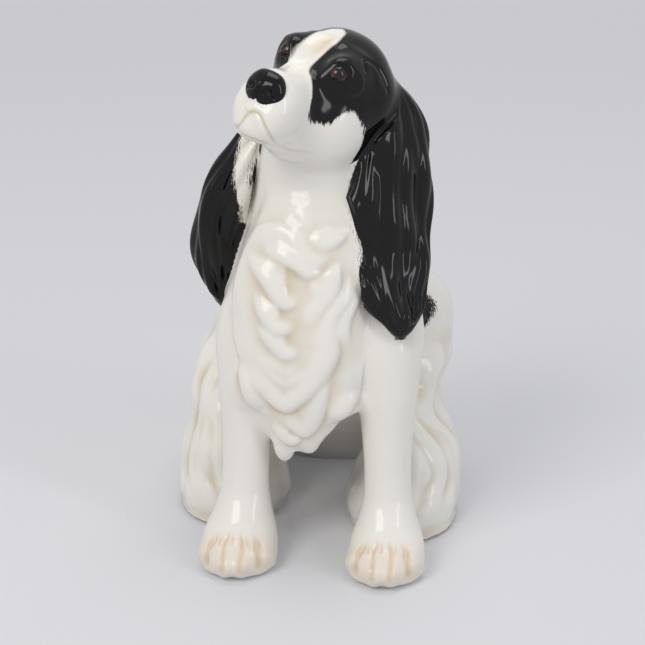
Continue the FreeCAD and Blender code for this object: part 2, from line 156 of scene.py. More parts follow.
def turn_matrix(axis, degrees):
    """A turn about one axis, as a matrix that takes a place from the turned part to the body."""
    c, s = math.cos(math.radians(degrees)), math.sin(math.radians(degrees))
    rows = {"x": ((1, 0, 0), (0, c, -s), (0, s, c)), "y": ((c, 0, s), (0, 1, 0), (-s, 0, c)),
            "z": ((c, -s, 0), (s, c, 0), (0, 0, 1))}
    return np.array(rows[axis])


HEAD_AXES = turn_matrix("z", -90 - HEAD_YAW) @ turn_matrix("y", -HEAD_PITCH) @ turn_matrix("x", -HEAD_ROLL)


def to_head(points):
    """Places told from the middle of the skull: ahead, to the dog's left, and up."""
    return (points - np.array(HEAD_MIDDLE)) @ HEAD_AXES


def from_head(ahead, left, up):
    """Body places of points told from the middle of the skull."""
    return np.stack(np.broadcast_arrays(ahead, left, up), -1) @ HEAD_AXES.T + np.array(HEAD_MIDDLE)


def smooth_step(low, high, value):
    """From 0 at low to 1 at high, level at both ends."""
    part = np.clip((value - low) / (high - low), 0, 1)
    return part * part * (3 - 2 * part)


def unit(vectors):
    """Vectors brought to a length of 1."""
    return vectors / np.linalg.norm(vectors, axis=-1, keepdims=True)


def full_turn(count):
    """Angles evenly round a full turn."""
    return np.linspace(0, 2 * math.pi, count, endpoint=False)


def smooth_union(first, second, width):
    """The nearer of two distances, with the crease between the two forms filled over a width."""
    near = np.clip(1 - np.abs(first - second) / width, 0, 1)
    return np.minimum(first, second) - near * near * width / 4


def smooth_cut(first, second, width):
    """What is inside both forms, with the edge between them rounded over a width."""
    return -smooth_union(-first, -second, width)


# The order in which a point's places run across, along and up an upright stack of ovals, and a lying one
UPRIGHT, LYING = (0, 1, 2), (1, 2, 0)
# Levels at which a stack's curves are worked out, with straight lines between
STACK_LEVELS = 240


def stack_field(rows, squareness=2.0, order=UPRIGHT):
    """Distance to a stack of ovals: how far past its oval a point is, over the slope of that measure."""
    levels = np.linspace(rows[0][0], rows[-1][0], STACK_LEVELS)
    table = read_rows(rows, levels)

    def distance(points):
        x, y, z = (points[:, i] for i in order)
        level = np.clip(z, levels[0], levels[-1])
        middle_x, middle_y, half_x, half_y = (np.interp(level, levels, table[:, i]) for i in range(4))
        dx, dy = x - middle_x, y - middle_y
        if table[:, 4].any():
            turn = np.radians(np.interp(level, levels, table[:, 4]))
            c, s = np.cos(turn), np.sin(turn)
            dx, dy = c * dx + s * dy, c * dy - s * dx
        across, along = np.abs(dx) / half_x, np.abs(dy) / half_y
        out = (across ** squareness + along ** squareness) ** (1 / squareness) + 1e-6
        slope = np.hypot(across / half_x, along / half_y) / np.hypot(across, along).clip(1e-6)
        flat = (out - 1) / slope.clip(1e-3)
        past_end = np.maximum(levels[0] - z, z - levels[-1])
        return np.hypot(flat.clip(0), past_end.clip(0)) + np.minimum(np.maximum(flat, past_end), 0)

    return distance


def egg_field(middle, radii, axes=None):
    """Distance to an egg shape: how far past its unit ball a point is, over the slope of that measure."""
    middle, radii = np.array(middle, float), np.array(radii, float)

    def distance(points):
        local = points - middle
        if axes is not None:
            local = local @ axes
        scaled = local / radii
        out = np.sqrt((scaled ** 2).sum(1)) + 1e-6
        slope = np.sqrt(((scaled / radii) ** 2).sum(1)) / out
        return (out - 1) / slope.clip(1e-3)

    return distance


def joined(fields, width):
    """Several distances blended one after another into one form."""
    return lambda points: functools.reduce(lambda total, field: smooth_union(total, field(points), width),
                                           fields[1:], fields[0](points))


NOSE_MIDDLE = (61.2, 1.2, -14.6)
NOSE_RADII = (6.8, 11.6, 10.2)
# Forms on the head, told ahead, left and up of the middle of the skull: the middle and the three half
# axes. They are the brows, the cheeks, the upper lips and the roots of the ears, whose two sides differ
# as hand modelling leaves them.
HEAD_EGGS = [
    ((20, 15, 8), (14, 10, 11.5)), ((20, -17, 8), (14, 10, 11.5)),
    ((7, 15.5, -21), (21, 16, 20)), ((7, -15.5, -21), (21, 16, 20)),
    ((51, 8, -25), (14, 10, 13)), ((49, -5.6, -25), (13, 9.5, 12.5)),
    ((-8, 20, 0), (13, 12, 16)), ((-8, -20, 0), (13, 12, 16)),
]
CHIN = ((55, 0, -35), (9, 8, 5.5))
HEAD_BLEND, CHIN_BLEND = 8, 4
EYES = {"left": (28.2, 16.2, 7.6), "right": (28.2, -17.0, 7.6)}
EYE_RADIUS = 5.2
EYE_GAZE = np.array([0.74, 0.62, 0.27])
# The dish that each eye lies in
DISH_RADIUS, DISH_DEPTH = 4.6, 3.2


def head_field():
    """The skull and muzzle with brows, cheeks, upper lips, chin and the roots of the ears."""
    skull = stack_field(SKULL_ROWS, 2.15, LYING)
    face = joined([skull] + [egg_field(*egg) for egg in HEAD_EGGS], HEAD_BLEND)
    whole = joined([face, egg_field(*CHIN)], CHIN_BLEND)
    return lambda points: whole(to_head(points))


# A paw's toes, told from the middle of the paw: the place across, ahead and up, and the turn in degrees
TOES = [(-14, 14, 7.5, 24), (-5.2, 20, 8.6, 8), (5, 19.6, 8.8, -8), (13.8, 13.4, 7.8, -24)]
# Half axes across, along and up a toe, and the blend between toes and paw
TOE_RADII = (5.9, 11.5, 8)
TOE_BLEND = 5


def foreleg_field(rows, sign):
    """A foreleg with four toes on its paw."""
    middle = np.array([LEG_MIDLINE + sign * PAW_ASIDE, -69.4, 0])
    toes = [egg_field(middle + np.array([across, -ahead, up]), TOE_RADII, turn_matrix("z", turn))
            for across, ahead, up, turn in TOES]
    return joined([stack_field(rows), joined(toes, TOE_BLEND)], TOE_BLEND)


# Hanging locks at the ruff's lower edge, each an egg: the middle and the three half axes
RUFF_LOCKS = [
    ((-14.5, -61, 70), (6.5, 7.5, 12)), ((-1, -61, 75), (7, 8, 11.5)), ((15, -60, 96), (12, 11, 11)),
    ((-30, -61, 104), (11, 11, 14)),
]


def all_forms():
    """The castings in the order in which they are blended, each with its field and its blend width."""
    locks = joined([egg_field(*lock) for lock in RUFF_LOCKS], 1.5)
    return {
        "trunk": (stack_field(TRUNK_ROWS), 0),
        "left_haunch": (stack_field(LEFT_HAUNCH_ROWS), 9),
        "right_haunch": (stack_field(RIGHT_HAUNCH_ROWS), 9),
        "tail": (stack_field(TAIL_ROWS, order=LYING), 6),
        "left_foreleg": (foreleg_field(LEFT_FORELEG_ROWS, 1), 8),
        "right_foreleg": (foreleg_field(RIGHT_FORELEG_ROWS, -1), 8),
        "chest_ruff": (joined([stack_field(RUFF_ROWS), locks], 3), 8),
        "head": (head_field(), 5),
        "left_ear": (stack_field(LEFT_EAR_ROWS), 5),
        "right_ear": (stack_field(RIGHT_EAR_ROWS), 5),
    }


FORMS = all_forms()
# The radius of the edge where a casting meets the floor, and over what depth past a seam a skin sinks
FLOOR_ROUNDING = 1.2
SEAM_DEPTH = 4.0


def skin_of(own, others):
    """The distance that a casting's surface is grown to, and how deep a point lies in its own part.

    In its own part it is the blended union of the casting and those beside it.  Past a seam it sinks to the
    casting's own form, with no corner at the seam.
    """
    names = [name for name in FORMS if name == own or name in others]

    def measure(points):
        distances = {name: FORMS[name][0](points) for name in names}
        total = distances[names[0]]
        for name in names[1:]:
            total = smooth_union(total, distances[name], FORMS[name][1])
        rest = np.minimum.reduce([distances[name] for name in names if name != own])
        past_seam = distances[own] - rest
        sunk = total + smooth_step(0, SEAM_DEPTH, past_seam) * (distances[own] - total)
        return smooth_cut(sunk, -points[:, 2], FLOOR_ROUNDING), -past_seam

    return measure


def rays(rows, start, end, around, along, order):
    """Ray starts and directions over a casting, out of a line up its middle and fanned at each end."""
    first, last = read_rows(rows, np.array([start, end], float))
    cap_low, cap_high = (math.pi / 2 * (row[2] + row[3]) / 2 for row in (first, last))
    path = np.linspace(0, cap_low + end - start + cap_high, along)
    level = np.clip(start + path - cap_low, start, end)
    up_low_cap = np.clip(path / cap_low, 0, 1)
    up_high_cap = np.clip((path - cap_low - end + start) / cap_high, 0, 1)
    tilt = (up_low_cap - 1 + up_high_cap) * math.pi / 2
    middle_x, middle_y, half_x, half_y, turn = read_rows(rows, level).T
    angle = full_turn(around)
    out_x, out_y = half_x[:, None] * np.cos(angle), half_y[:, None] * np.sin(angle)
    length = np.hypot(out_x, out_y)
    out_x, out_y = out_x / length, out_y / length
    c, s = np.cos(np.radians(turn))[:, None], np.sin(np.radians(turn))[:, None]
    out_x, out_y = c * out_x - s * out_y, s * out_x + c * out_y
    flatness = np.cos(tilt)[:, None]
    directions, starts = np.empty((2, along, around, 3))
    for axis, out, middle in zip(order, (out_x * flatness, out_y * flatness, np.sin(tilt)[:, None]),
                                 (middle_x, middle_y, level)):
        directions[:, :, axis] = out
        starts[:, :, axis] = middle[:, None]
    return starts, directions, angle, level


# The steps of a march out to the skin, and the halvings of its last step
MARCHES, HALVINGS = 30, 6


def reach(measure, starts, directions, far):
    """How far along each ray the skin lies: a march to the first crossing, then halving of that step."""
    shape = starts.shape[:-1]
    starts, directions = starts.reshape(-1, 3), directions.reshape(-1, 3)
    near, beyond = np.zeros(len(starts)), np.full(len(starts), float(far))
    found = np.zeros(len(starts), bool)
    for i in range(1, MARCHES + 1):
        here = far * i / MARCHES
        outside = measure(starts + here * directions)[0] > 0
        newly = outside & ~found
        near[newly], beyond[newly] = far * (i - 1) / MARCHES, here
        found |= outside
    for _ in range(HALVINGS):
        middle = (near + beyond) / 2
        outside = measure(starts + middle[:, None] * directions)[0] > 0
        beyond, near = np.where(outside, middle, beyond), np.where(outside, near, middle)
    return ((near + beyond) / 2).reshape(shape)


def finer(values, step):
    """A coarse grid, closed round and open along, read at a finer spacing by straight lines."""
    along, around = values.shape
    wrapped = np.hstack([values, values[:, :1]])
    columns = np.arange(around * step) / step
    left = columns.astype(int)
    part = columns - left
    wide = wrapped[:, left] * (1 - part) + wrapped[:, left + 1] * part
    rows = np.linspace(0, along - 1, (along - 1) * step + 1)
    low = np.clip(rows.astype(int), 0, along - 2)
    part = (rows - low)[:, None]
    return wide[low] * (1 - part) + wide[low + 1] * part


# How far to each side of a reading the next two are taken, in each round
SETTLE_WINDOWS = (0.8, 0.15)


def settle(measure, starts, directions, distance):
    """Brings each distance onto the skin by the line through two near readings, twice over."""
    shape = distance.shape
    starts, directions, distance = starts.reshape(-1, 3), directions.reshape(-1, 3), distance.ravel()
    for window in SETTLE_WINDOWS:
        inner = measure(starts + (distance - window)[:, None] * directions)[0]
        outer = measure(starts + (distance + window)[:, None] * directions)[0]
        slope = np.maximum((outer - inner) / (2 * window), 0.15)
        distance = distance + np.clip(-(inner + outer) / 2 / slope, -2.5 * window, 2.5 * window)
    return distance.reshape(shape)


def outward(points, directions):
    """Unit normals of a grid of points, closed round, on the side that the rays leave by."""
    around = np.roll(points, -1, 1) - np.roll(points, 1, 1)
    along = np.gradient(points, axis=0)
    normal = np.cross(around, along)
    normal /= np.linalg.norm(normal, axis=2, keepdims=True).clip(1e-9)
    return normal * np.sign((normal * directions).sum(2, keepdims=True))


# One ray in so many, each way, marches to the skin on its own, and the others start from straight lines
# between
COARSE_STEP = 4
# The depth over which relief fades at a seam with another casting
RELIEF_SEAM = 3.0


def grid_faces(rows, columns):
    """Quads over a grid of points, row after row, each row closed round, and a fan to a pole at each end.

    The poles' own points follow those of the grid.
    """
    ring = np.arange(columns)
    beside = np.roll(ring, -1)
    base = (np.arange(rows - 1) * columns)[:, None]
    quads = np.stack([base + ring, base + beside, base + columns + beside, base + columns + ring], -1)
    top = (rows - 1) * columns
    low_fan = np.stack([beside, ring, np.full(columns, rows * columns)], -1)
    high_fan = np.stack([top + ring, top + beside, np.full(columns, rows * columns + 1)], -1)
    return quads.reshape(-1, 4), low_fan, high_fan


# Turns a quad over without moving its diagonal
TURNED_OVER = [0, 3, 2, 1]


class Casting:
    """One casting's grid: its points, their normals, and how deep each lies in the casting's own part."""

    def __init__(self, own, others, rows, start, end, far, around, along, order=UPRIGHT):
        along = (along - 1) // COARSE_STEP * COARSE_STEP + 1
        measure = skin_of(own, others)
        starts, directions, self.angle, self.level = rays(rows, start, end, around, along, order)
        if own == "head":
            starts, directions = from_head(*np.moveaxis(starts, 2, 0)), directions @ HEAD_AXES.T
        spread = slice(None, None, COARSE_STEP)
        coarse = reach(measure, starts[spread, spread], directions[spread, spread], far)
        distance = settle(measure, starts, directions, finer(coarse, COARSE_STEP))
        self.points = starts + distance[..., None] * directions
        self.directions = directions
        self.normals = outward(self.points, directions)
        self.shape = distance.shape
        self.own_depth = measure(self.points.reshape(-1, 3))[1].reshape(self.shape)
        self.relief = np.zeros(self.shape)
        self.paint = {}

    def flat(self):
        """The points as one list."""
        return self.points.reshape(-1, 3)

    def raise_by(self, height):
        """Raises the surface by a height that fades out towards the seams with other castings."""
        height = height * smooth_step(0, RELIEF_SEAM, self.own_depth)
        self.relief = height
        self.points = self.points + height[..., None] * self.normals
        self.normals = outward(self.points, self.directions)

    def blurred(self, values, radius):
        """The values averaged over a soft patch, by a Gauss filter with a radius in millimetres."""
        along, around = self.shape
        edges = np.linalg.norm(np.diff(self.points, axis=0), axis=2).mean()
        hoops = np.linalg.norm(np.diff(self.points[along // 4:3 * along // 4], axis=1), axis=2).mean()
        mirrored = np.vstack([values, values[::-1]])
        down = np.fft.fftfreq(2 * along)[:, None] * radius / edges
        round_it = np.fft.rfftfreq(around)[None, :] * radius / hoops
        spectrum = np.fft.rfft2(mirrored) * np.exp(-2 * math.pi ** 2 * (down ** 2 + round_it ** 2))
        return np.fft.irfft2(spectrum, mirrored.shape)[:along]

    def mesh(self, name):
        """A closed mesh of the grid: quads, with the rows at both poles drawn into one vertex each.

        Its faces are turned so that one halfway along points the way of the normal there.
        """
        along, around = self.shape
        on_floor = np.maximum(self.points, [-np.inf, -np.inf, 0])
        inner = on_floor[1:-1].reshape(-1, 3)
        poles = np.stack([on_floor[0].mean(0), on_floor[-1].mean(0)])
        vertices = (np.vstack([inner, poles]) + ORIGIN) * MM
        face_groups = grid_faces(along - 2, around)
        halfway = along // 2
        first, second = self.points[halfway, :2]
        over = self.points[halfway + 1, 0]
        if np.cross(second - first, over - first) @ self.normals[halfway, 0] < 0:
            face_groups = [faces[:, ::-1] for faces in face_groups]
        mesh = bpy.data.meshes.new(name)
        fill_mesh(mesh, vertices, face_groups)
        for attribute, values in self.paint.items():
            layer = mesh.attributes.new(attribute, "FLOAT", "POINT")
            column = np.concatenate([values[1:-1].ravel(), [values[0].mean(), values[-1].mean()]])
            layer.data.foreach_set("value", column.astype(np.float32))
        return mesh


def fill_mesh(mesh, vertices, face_groups):
    """Puts whole arrays of vertices and faces into a mesh, shaded smooth."""
    loops = np.concatenate([faces.ravel() for faces in face_groups]).astype(np.int32)
    sizes = np.concatenate([np.full(len(faces), faces.shape[1]) for faces in face_groups]).astype(np.int32)
    mesh.vertices.add(len(vertices))
    mesh.vertices.foreach_set("co", np.asarray(vertices, np.float32).ravel())
    mesh.loops.add(len(loops))
    mesh.loops.foreach_set("vertex_index", loops)
    mesh.polygons.add(len(sizes))
    mesh.polygons.foreach_set("loop_start", (np.cumsum(sizes) - sizes).astype(np.int32))
    mesh.polygons.foreach_set("use_smooth", np.ones(len(sizes), bool))
    mesh.update(calc_edges=True)
    mesh.validate()


def add_piece(name, mesh, material, nodes):
    """Puts a mesh in the scene as a piece of the ornament that stands for the given castings."""
    piece = bpy.data.objects.new(name, mesh)
    bpy.context.scene.collection.objects.link(piece)
    mesh.materials.append(material)
    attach(piece, "root")
    if nodes:
        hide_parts(*nodes)


# Modelled hair: rolls of clay laid along listed lines


def hump(value, middle, width):
    """A bell curve over a middle: 1 there, and 1/e at the width to each side."""
    return np.exp(-((value - middle) / width) ** 2)


def smooth_line(corners, steps=6):
    """A line through the corners with no kinks, each span divided into a few straight steps."""
    corners = np.array(corners, float)
    ends = np.vstack([2 * corners[0] - corners[1], corners, 2 * corners[-1] - corners[-2]])
    part = (np.arange(steps) / steps)[:, None]
    spans = []
    for before, low, high, after in zip(ends, ends[1:], ends[2:], ends[3:]):
        spans.append(0.5 * (2 * low + (high - before) * part
                            + (2 * before - 5 * low + 4 * high - after) * part ** 2
                            + (3 * low - before - 3 * high + after) * part ** 3))
    return np.vstack(spans + [corners[-1:]])


def nearest(places, line):
    """How far places are from a line of straight steps, the nearest step, and how far along the line it is.

    Places are one array for each of the line's coordinates, and the last answer runs from 0 to 1.
    """
    best = np.full(places[0].shape, 1e9)
    along = np.zeros(best.shape)
    step = np.zeros(best.shape, int)
    runs = np.diff(line, axis=0)
    for i, (begin, run) in enumerate(zip(line, runs)):
        offsets = [place - start for place, start in zip(places, begin)]
        share = sum(offset * length for offset, length in zip(offsets, run)) / (run ** 2).sum()
        part = np.clip(share, 0, 1)
        gap = sum((offset - part * length) ** 2 for offset, length in zip(offsets, run))
        closer = gap < best
        best, step = np.where(closer, gap, best), np.where(closer, i, step)
        along = np.where(closer, (i + part) / len(runs), along)
    return np.sqrt(best), step, along


def roll_height(across, up, corners, height, width, ease=1.6):
    """One roll of hair: round on top, steep on its line's right side and easing away on its left side."""
    line = smooth_line(corners)
    gap, step, along = nearest((across, up), line)
    run_across, run_up = np.moveaxis(np.diff(line, axis=0)[step], -1, 0)
    on_right = run_across * (up - line[step, 1]) < run_up * (across - line[step, 0])
    gap = np.where(on_right, -gap, gap)
    steep = np.sqrt(1 - np.clip((width - gap) / (width * 1.5), 0, 1) ** 2)
    easing = 1 / (1 + ((gap - width).clip(0) / (ease * width)) ** 2)
    ends = smooth_step(0, 0.3, along) * smooth_step(0, 0.3, 1 - along)
    return height * steep * easing * ends * (gap < 12 * width)


def laid_over(rolls):
    """Several rolls laid over each other: the highest shows, with soft creases between them."""
    return sum(np.maximum(roll, 0) ** 3 for roll in rolls) ** (1 / 3)


# Each line is drawn on the plane that faces the dog's front: across the body and up. The lock is thick on
# the left of its line, so lines that run from the dog's right down and across hang as swags.
RUFF_LINES = [
    ([(-36, 178), (-30, 188), (-19, 192), (-12, 190), (-6, 184)][::-1], 2.0, 2.4),
    ([(-31, 181), (-23, 177), (-15, 174), (-8, 171), (-1, 167), (4, 169), (7, 174)], 3.4, 2.6),
    ([(-18, 186), (-12, 184), (-6, 178), (1, 172), (5, 168)], 2.2, 2.2),
    ([(-4, 190), (1, 184), (8, 181), (16, 185), (20, 192)], 2.4, 2.4),
    ([(-35, 178), (-32, 170), (-25, 162), (-19, 155), (-13, 151), (-8, 153), (-3, 160)], 3.6, 2.8),
    ([(0, 170), (1, 162), (4, 157), (8, 160), (12, 168)], 2.0, 2.2),
    ([(-31, 160), (-28, 149), (-23, 141), (-17, 137), (-11, 139), (-6, 147)], 3.6, 2.8),
    ([(-30, 143), (-26, 136), (-20, 129), (-13, 124), (-7, 126), (-2, 133)], 3.0, 2.6),
    ([(-29, 128), (-24, 121), (-17, 117), (-12, 114), (-6, 119), (1, 129)], 2.0, 2.0),
    ([(-34, 138), (-30, 126), (-25, 117), (-18, 111), (-12, 108), (-5, 112), (3, 119), (9, 130)], 2.4, 2.2),
    ([(-41, 160), (-38, 141), (-34, 121), (-28, 107), (-20, 98), (-12, 94), (-4, 99), (3, 106), (10, 115),
      (15, 126), (15, 136), (19, 146), (25, 152)], 3.8, 3.2),
    ([(-43, 150), (-41, 130), (-38, 112), (-34, 98), (-28, 91), (-20, 88)], 2.6, 2.8),
    ([(-20, 88), (-18, 78), (-11, 72), (-6, 74), (-2, 82)], 2.2, 2.2),
    ([(-20, 86), (-12, 84), (-5, 79), (-1, 78), (5, 85), (9, 97), (12, 112), (18, 124)], 3.0, 2.6),
    ([(6, 84), (14, 86), (21, 92), (26, 102), (30, 114), (32, 126)], 2.4, 2.6),
    ([(0, 136), (4, 145), (9, 152), (15, 160), (15, 170), (12, 176)], 2.6, 2.4),
    ([(14, 118), (13, 132), (14, 144), (20, 153), (26, 164)], 2.4, 2.4),
    ([(22, 128), (21, 140), (24, 150), (29, 160)], 1.8, 2.2),
    ([(-14, 200), (-8, 196), (-3, 192), (3, 193)], 0.9, 2.4),
]


def chest_rolls(points):
    """The rolls drawn over the chest, at any places on it."""
    across, up = points[..., 0], points[..., 2]
    return laid_over([roll_height(across, up, *line, ease=2.8) for line in RUFF_LINES])


def ruff_relief(casting):
    """The ruff's swags and curls, highest where they overlap."""
    front = smooth_step(0.15, -0.35, casting.normals[..., 1])
    rolls = casting.blurred(chest_rolls(casting.points) * front, 0.7)
    return 0.95 * rolls - 0.65 * casting.blurred(rolls, 11)


def wave_locks(angle, level, count, lean, sway, length, seed):
    """Locks side by side: rounded ridges between sharp grooves, whose lines sway as they run down."""
    phase = (count * angle + lean * level + sway * np.sin(level / length + seed)
             + 0.5 * sway * np.sin(level / (0.53 * length) + 2.1 * seed + 2 * angle))
    return np.abs(np.cos(phase / 2)) ** 0.7


def ear_relief(casting, seed, gather):
    """Wavy locks down an ear: broad ones, swells and finer ones over them, fading out at the root.

    The outer side draws in above the tip, where the locks gather, by a depth in millimetres.
    """
    angle, level = casting.angle[None, :], casting.level[:, None]
    broad = wave_locks(angle, level, 5, 0.015, 1.3, 19, seed)
    middling = wave_locks(angle, level, 12, -0.012, 1.5, 22, seed + 2)
    fine = wave_locks(angle, level, 25, 0.02, 1.8, 26, seed + 4)
    bulge = np.sin(level / 10.5 + 2.2 * np.sin(angle + seed)) * np.sin(2 * angle + level / 21 + seed)
    ends = smooth_step(0, 9, level - level.min()) * smooth_step(0, 34, level.max() - level)
    drawn_in = gather * smooth_step(0.0, 0.7, casting.normals[..., 0]) * hump(level, 156, 13)
    height = 3.0 * broad + 2.3 * middling + 0.5 * fine + 2.4 * bulge - 3.4
    return casting.blurred(height * ends - drawn_in, 1.1)


# Draped hair on the haunches is drawn on the side that each faces: places along the body, from front to
# back, and up.
LEFT_FOLDS = [
    ([(-10, 112), (-17, 92), (-23, 70), (-31, 44), (-39, 16), (-42, 2)], 4.0, 4.6),
    ([(8, 118), (-2, 92), (-9, 66), (-17, 42), (-27, 18), (-33, 3)], 3.6, 4.4),
    ([(4, 80), (0, 58), (-8, 36), (-12, 14), (-20, 2)], 2.8, 3.6),
    ([(26, 112), (15, 88), (8, 62), (4, 40), (-3, 20), (-6, 3)], 4.2, 5.0),
    ([(20, 66), (16, 44), (11, 24), (9, 4)], 2.8, 3.8),
    ([(44, 96), (33, 74), (27, 50), (24, 26), (20, 3)], 4.0, 5.0),
    ([(40, 58), (39, 36), (36, 16), (37, 3)], 2.8, 4.0),
    ([(58, 82), (52, 60), (51, 36), (54, 14), (52, 2)], 3.8, 4.8),
    ([(70, 62), (69, 40), (72, 20), (76, 2)], 2.8, 4.0),
]
RIGHT_FOLDS = [([(along + 8, up) for along, up in corners], *size) for corners, *size in LEFT_FOLDS]
# The same on the front of each haunch: places outwards from between the legs, and up.
FRONT_FOLDS = [
    ([(27, 66), (24, 44), (21, 24), (15, 4)], 3.0, 4.0),
    ([(42, 96), (40, 68), (34, 42), (29, 20), (27, 3)], 3.2, 4.0),
    ([(54, 92), (56, 66), (52, 40), (44, 18), (41, 3)], 3.6, 4.4),
    ([(62, 84), (66, 58), (65, 34), (58, 14), (56, 3)], 3.4, 4.2),
    ([(69, 74), (75, 48), (76, 24), (71, 4)], 3.2, 4.2),
]


def haunch_relief(casting, side, lines):
    """Draped feathering: heavy folds that run down and forward over the thigh and swell at the floor."""
    across, along, up = np.moveaxis(casting.points, 2, 0)
    outer = smooth_step(0.05, 0.6, side * casting.normals[..., 0])
    front = smooth_step(0.2, 0.75, -casting.normals[..., 1])
    wavy = along + 2.4 * np.sin(up / 8) + 1.1 * np.sin(up / 4.3 + along / 7)
    folds = laid_over([roll_height(wavy, up, corners[::-1], *size) for corners, *size in lines])
    outwards = side * across + 2.0 * np.sin(up / 8 + 1)
    fronts = laid_over([roll_height(outwards, up, *line) for line in FRONT_FOLDS])
    swell = 1.2 * np.sin(along / 7.5 + up / 10) * np.sin(up / 8 - along / 12 + 1)
    raised = (np.maximum(folds * outer, fronts * front) + swell) * smooth_step(-3, 5, up)
    return casting.blurred((raised - 1.6) * smooth_step(118, 84, up), 0.8)


# Grooves between the toes: the place across the paw where each begins on top, and where it ends in front
TOE_GROOVES = [(-12.5, -15.5), (-4.6, -6.0), (4.0, 4.8), (12.0, 15.0)]


def toe_grooves(points):
    """How deep in a groove between toes each place on a paw is, from 0 to 1.

    With it come the place across the paw, and how far down the toes it is, from 0 to 1 and on.
    """
    x, y, z = np.moveaxis(points, -1, 0)
    across = x - (LEG_MIDLINE + PAW_ASIDE * np.sign(x.mean()))
    run = (-y - 78) / 18 + (16 - z) / 22
    part = np.clip(run, 0, 1)
    deepest = 0
    for top, foot in TOE_GROOVES:
        line = top + (foot - top) * part + 0.5 * np.sin(6 * part + top)
        deepest = np.maximum(deepest, hump(across, line, 1.1 + 0.4 * part))
    return deepest * smooth_step(0.05, 0.5, run) * smooth_step(3.5, 9, z), across, run


def foreleg_relief(casting):
    """Toes parted by grooves, knuckles that swell between them, and a flat pad that rims them below."""
    x, y, z = np.moveaxis(casting.points, 2, 0)
    grooves, _, run = toe_grooves(casting.points)
    pad = hump(z, 3.0, 1.7) * smooth_step(-72, -82, y)
    knuckle = hump(run, 0.62, 0.2) * (z < 24)
    return casting.blurred(0.8 * knuckle - 1.7 * grooves + 0.5 * pad, 0.7)


# A signed distance inside a patch of paint that is as good as far outside it, or far inside
FAR = 30.0
# How far below its surroundings relief lies where glaze pooling and painted shade show their full colour
POOL_AND_SHADE_DEPTH = 1.9


def plain_paint(casting):
    """No paint anywhere: the white glaze alone, warmed and darkened in the hollows of the relief by glaze
    pooling and painted shade.
    """
    relief = casting.relief
    # Painted shade with glaze pooling: the relief's hollows, narrow and wide, are darkened towards the
    # beige colour
    sunk = casting.blurred(relief, 3.0) - relief + 0.5 * (casting.blurred(relief, 8.0) - relief)
    casting.paint["ink"] = np.full(casting.shape, -FAR)
    casting.paint["fringe"] = np.full(casting.shape, 1.0)
    casting.paint["hollow"] = np.clip(sunk / POOL_AND_SHADE_DEPTH, 0, 1)
    casting.paint["blush"] = np.zeros(casting.shape)


def ink_at(casting, distance, fringe):
    """Adds a painted patch: the signed distance inside its edge, and how deep its ragged fringe is."""
    more = distance > casting.paint["ink"]
    casting.paint["fringe"] = np.where(more, fringe, casting.paint["fringe"])
    casting.paint["ink"] = np.where(more, distance, casting.paint["ink"])


# Lines on the face, told ahead, left and up of the middle of the skull: where the lips meet, the jaw's
# lower edge, and the fold that the ear hangs from
MOUTH_LINE = [(47, -12, -38.5), (57, -10, -39), (62, -5, -38), (64.2, -1.9, -35.7), (64.8, -0.6, -30.8),
              (65.8, 2.7, -27.5), (65, 7.1, -27.4), (63.3, 11.4, -31), (58.2, 14.1, -34.9),
              (47.6, 13.2, -37.6), (38, 12, -37.7)]
JAW_LINE = [(62.4, -3.3, -38.7), (61.4, -0.2, -40), (57.8, 7.5, -39.9), (46.4, 11.6, -38.6),
            (33.6, 11.7, -38.3), (25.8, 19.3, -35.2), (18, 23.2, -36.5)]
EAR_FOLD_LINE = [(17.6, 23.8, 15.8), (16.4, 19.8, 20.5), (8.2, 23.5, 19.6), (2.9, 28, 15.3),
                 (0, 30.6, 10.1), (-3, 32, 3)]


def groove(points, corners, width, end, aside=0):
    """A soft groove along a line in space, from 0 beside it to 1 in it, fading out at the line's end.

    Its middle may lie aside of the line, all round it.
    """
    gap, _, along = nearest(np.moveaxis(points, -1, 0), smooth_line(corners, 4))
    return hump(gap, aside, width) * smooth_step(1, 1 - end, along)


def head_relief(casting):
    """The lips, the jaw's edge, the furrow up the stop, the eyelids' ridges and the fold over the ear."""
    places = to_head(casting.points)
    ahead, left, up = np.moveaxis(places, 2, 0)
    aside = np.abs(left)
    mouth = groove(places, MOUTH_LINE, 0.75, 0.2)
    lip = groove(places, MOUTH_LINE, 1.9, 0.3, aside=2.6)
    jaw = groove(places, JAW_LINE, 1.3, 0.4)
    fold = groove(places, EAR_FOLD_LINE, 1.0, 0.3)
    crown = smooth_step(0, 8, up)
    furrow = hump(left, -4, 3.2) * smooth_step(6, 16, ahead) * smooth_step(42, 30, ahead) * crown
    stop = hump(ahead, 34, 5) * hump(left, -2, 8) * crown
    dimple = hump(ahead, 19.5, 3.4) * hump(up, 0.5, 1.8) * (left > 15)
    lid = hump(np.hypot(ahead - 27, 1.15 * (up - 7.2)), 7.6, 1.7) * smooth_step(7, 11, aside)
    brow = hump(np.hypot(ahead - 21, up - 9), 14, 2.2) * smooth_step(3, 6, aside) * smooth_step(8, 12, up)
    dish = 0
    for side, middle in EYES.items():
        depth = (places - middle) @ eye_gaze(side)
        gap_squared = ((places - middle) ** 2).sum(2) - depth ** 2
        dish = dish + np.exp(-gap_squared / DISH_RADIUS ** 2) * smooth_step(-4, 0, depth)
    height = (0.35 * lip - 0.55 * mouth - 0.5 * jaw - 1.2 * fold - 0.8 * furrow - 0.9 * stop - 0.5 * dimple
              + 0.45 * lid + 0.5 * brow - DISH_DEPTH * dish)
    return casting.blurred(height, 0.5)


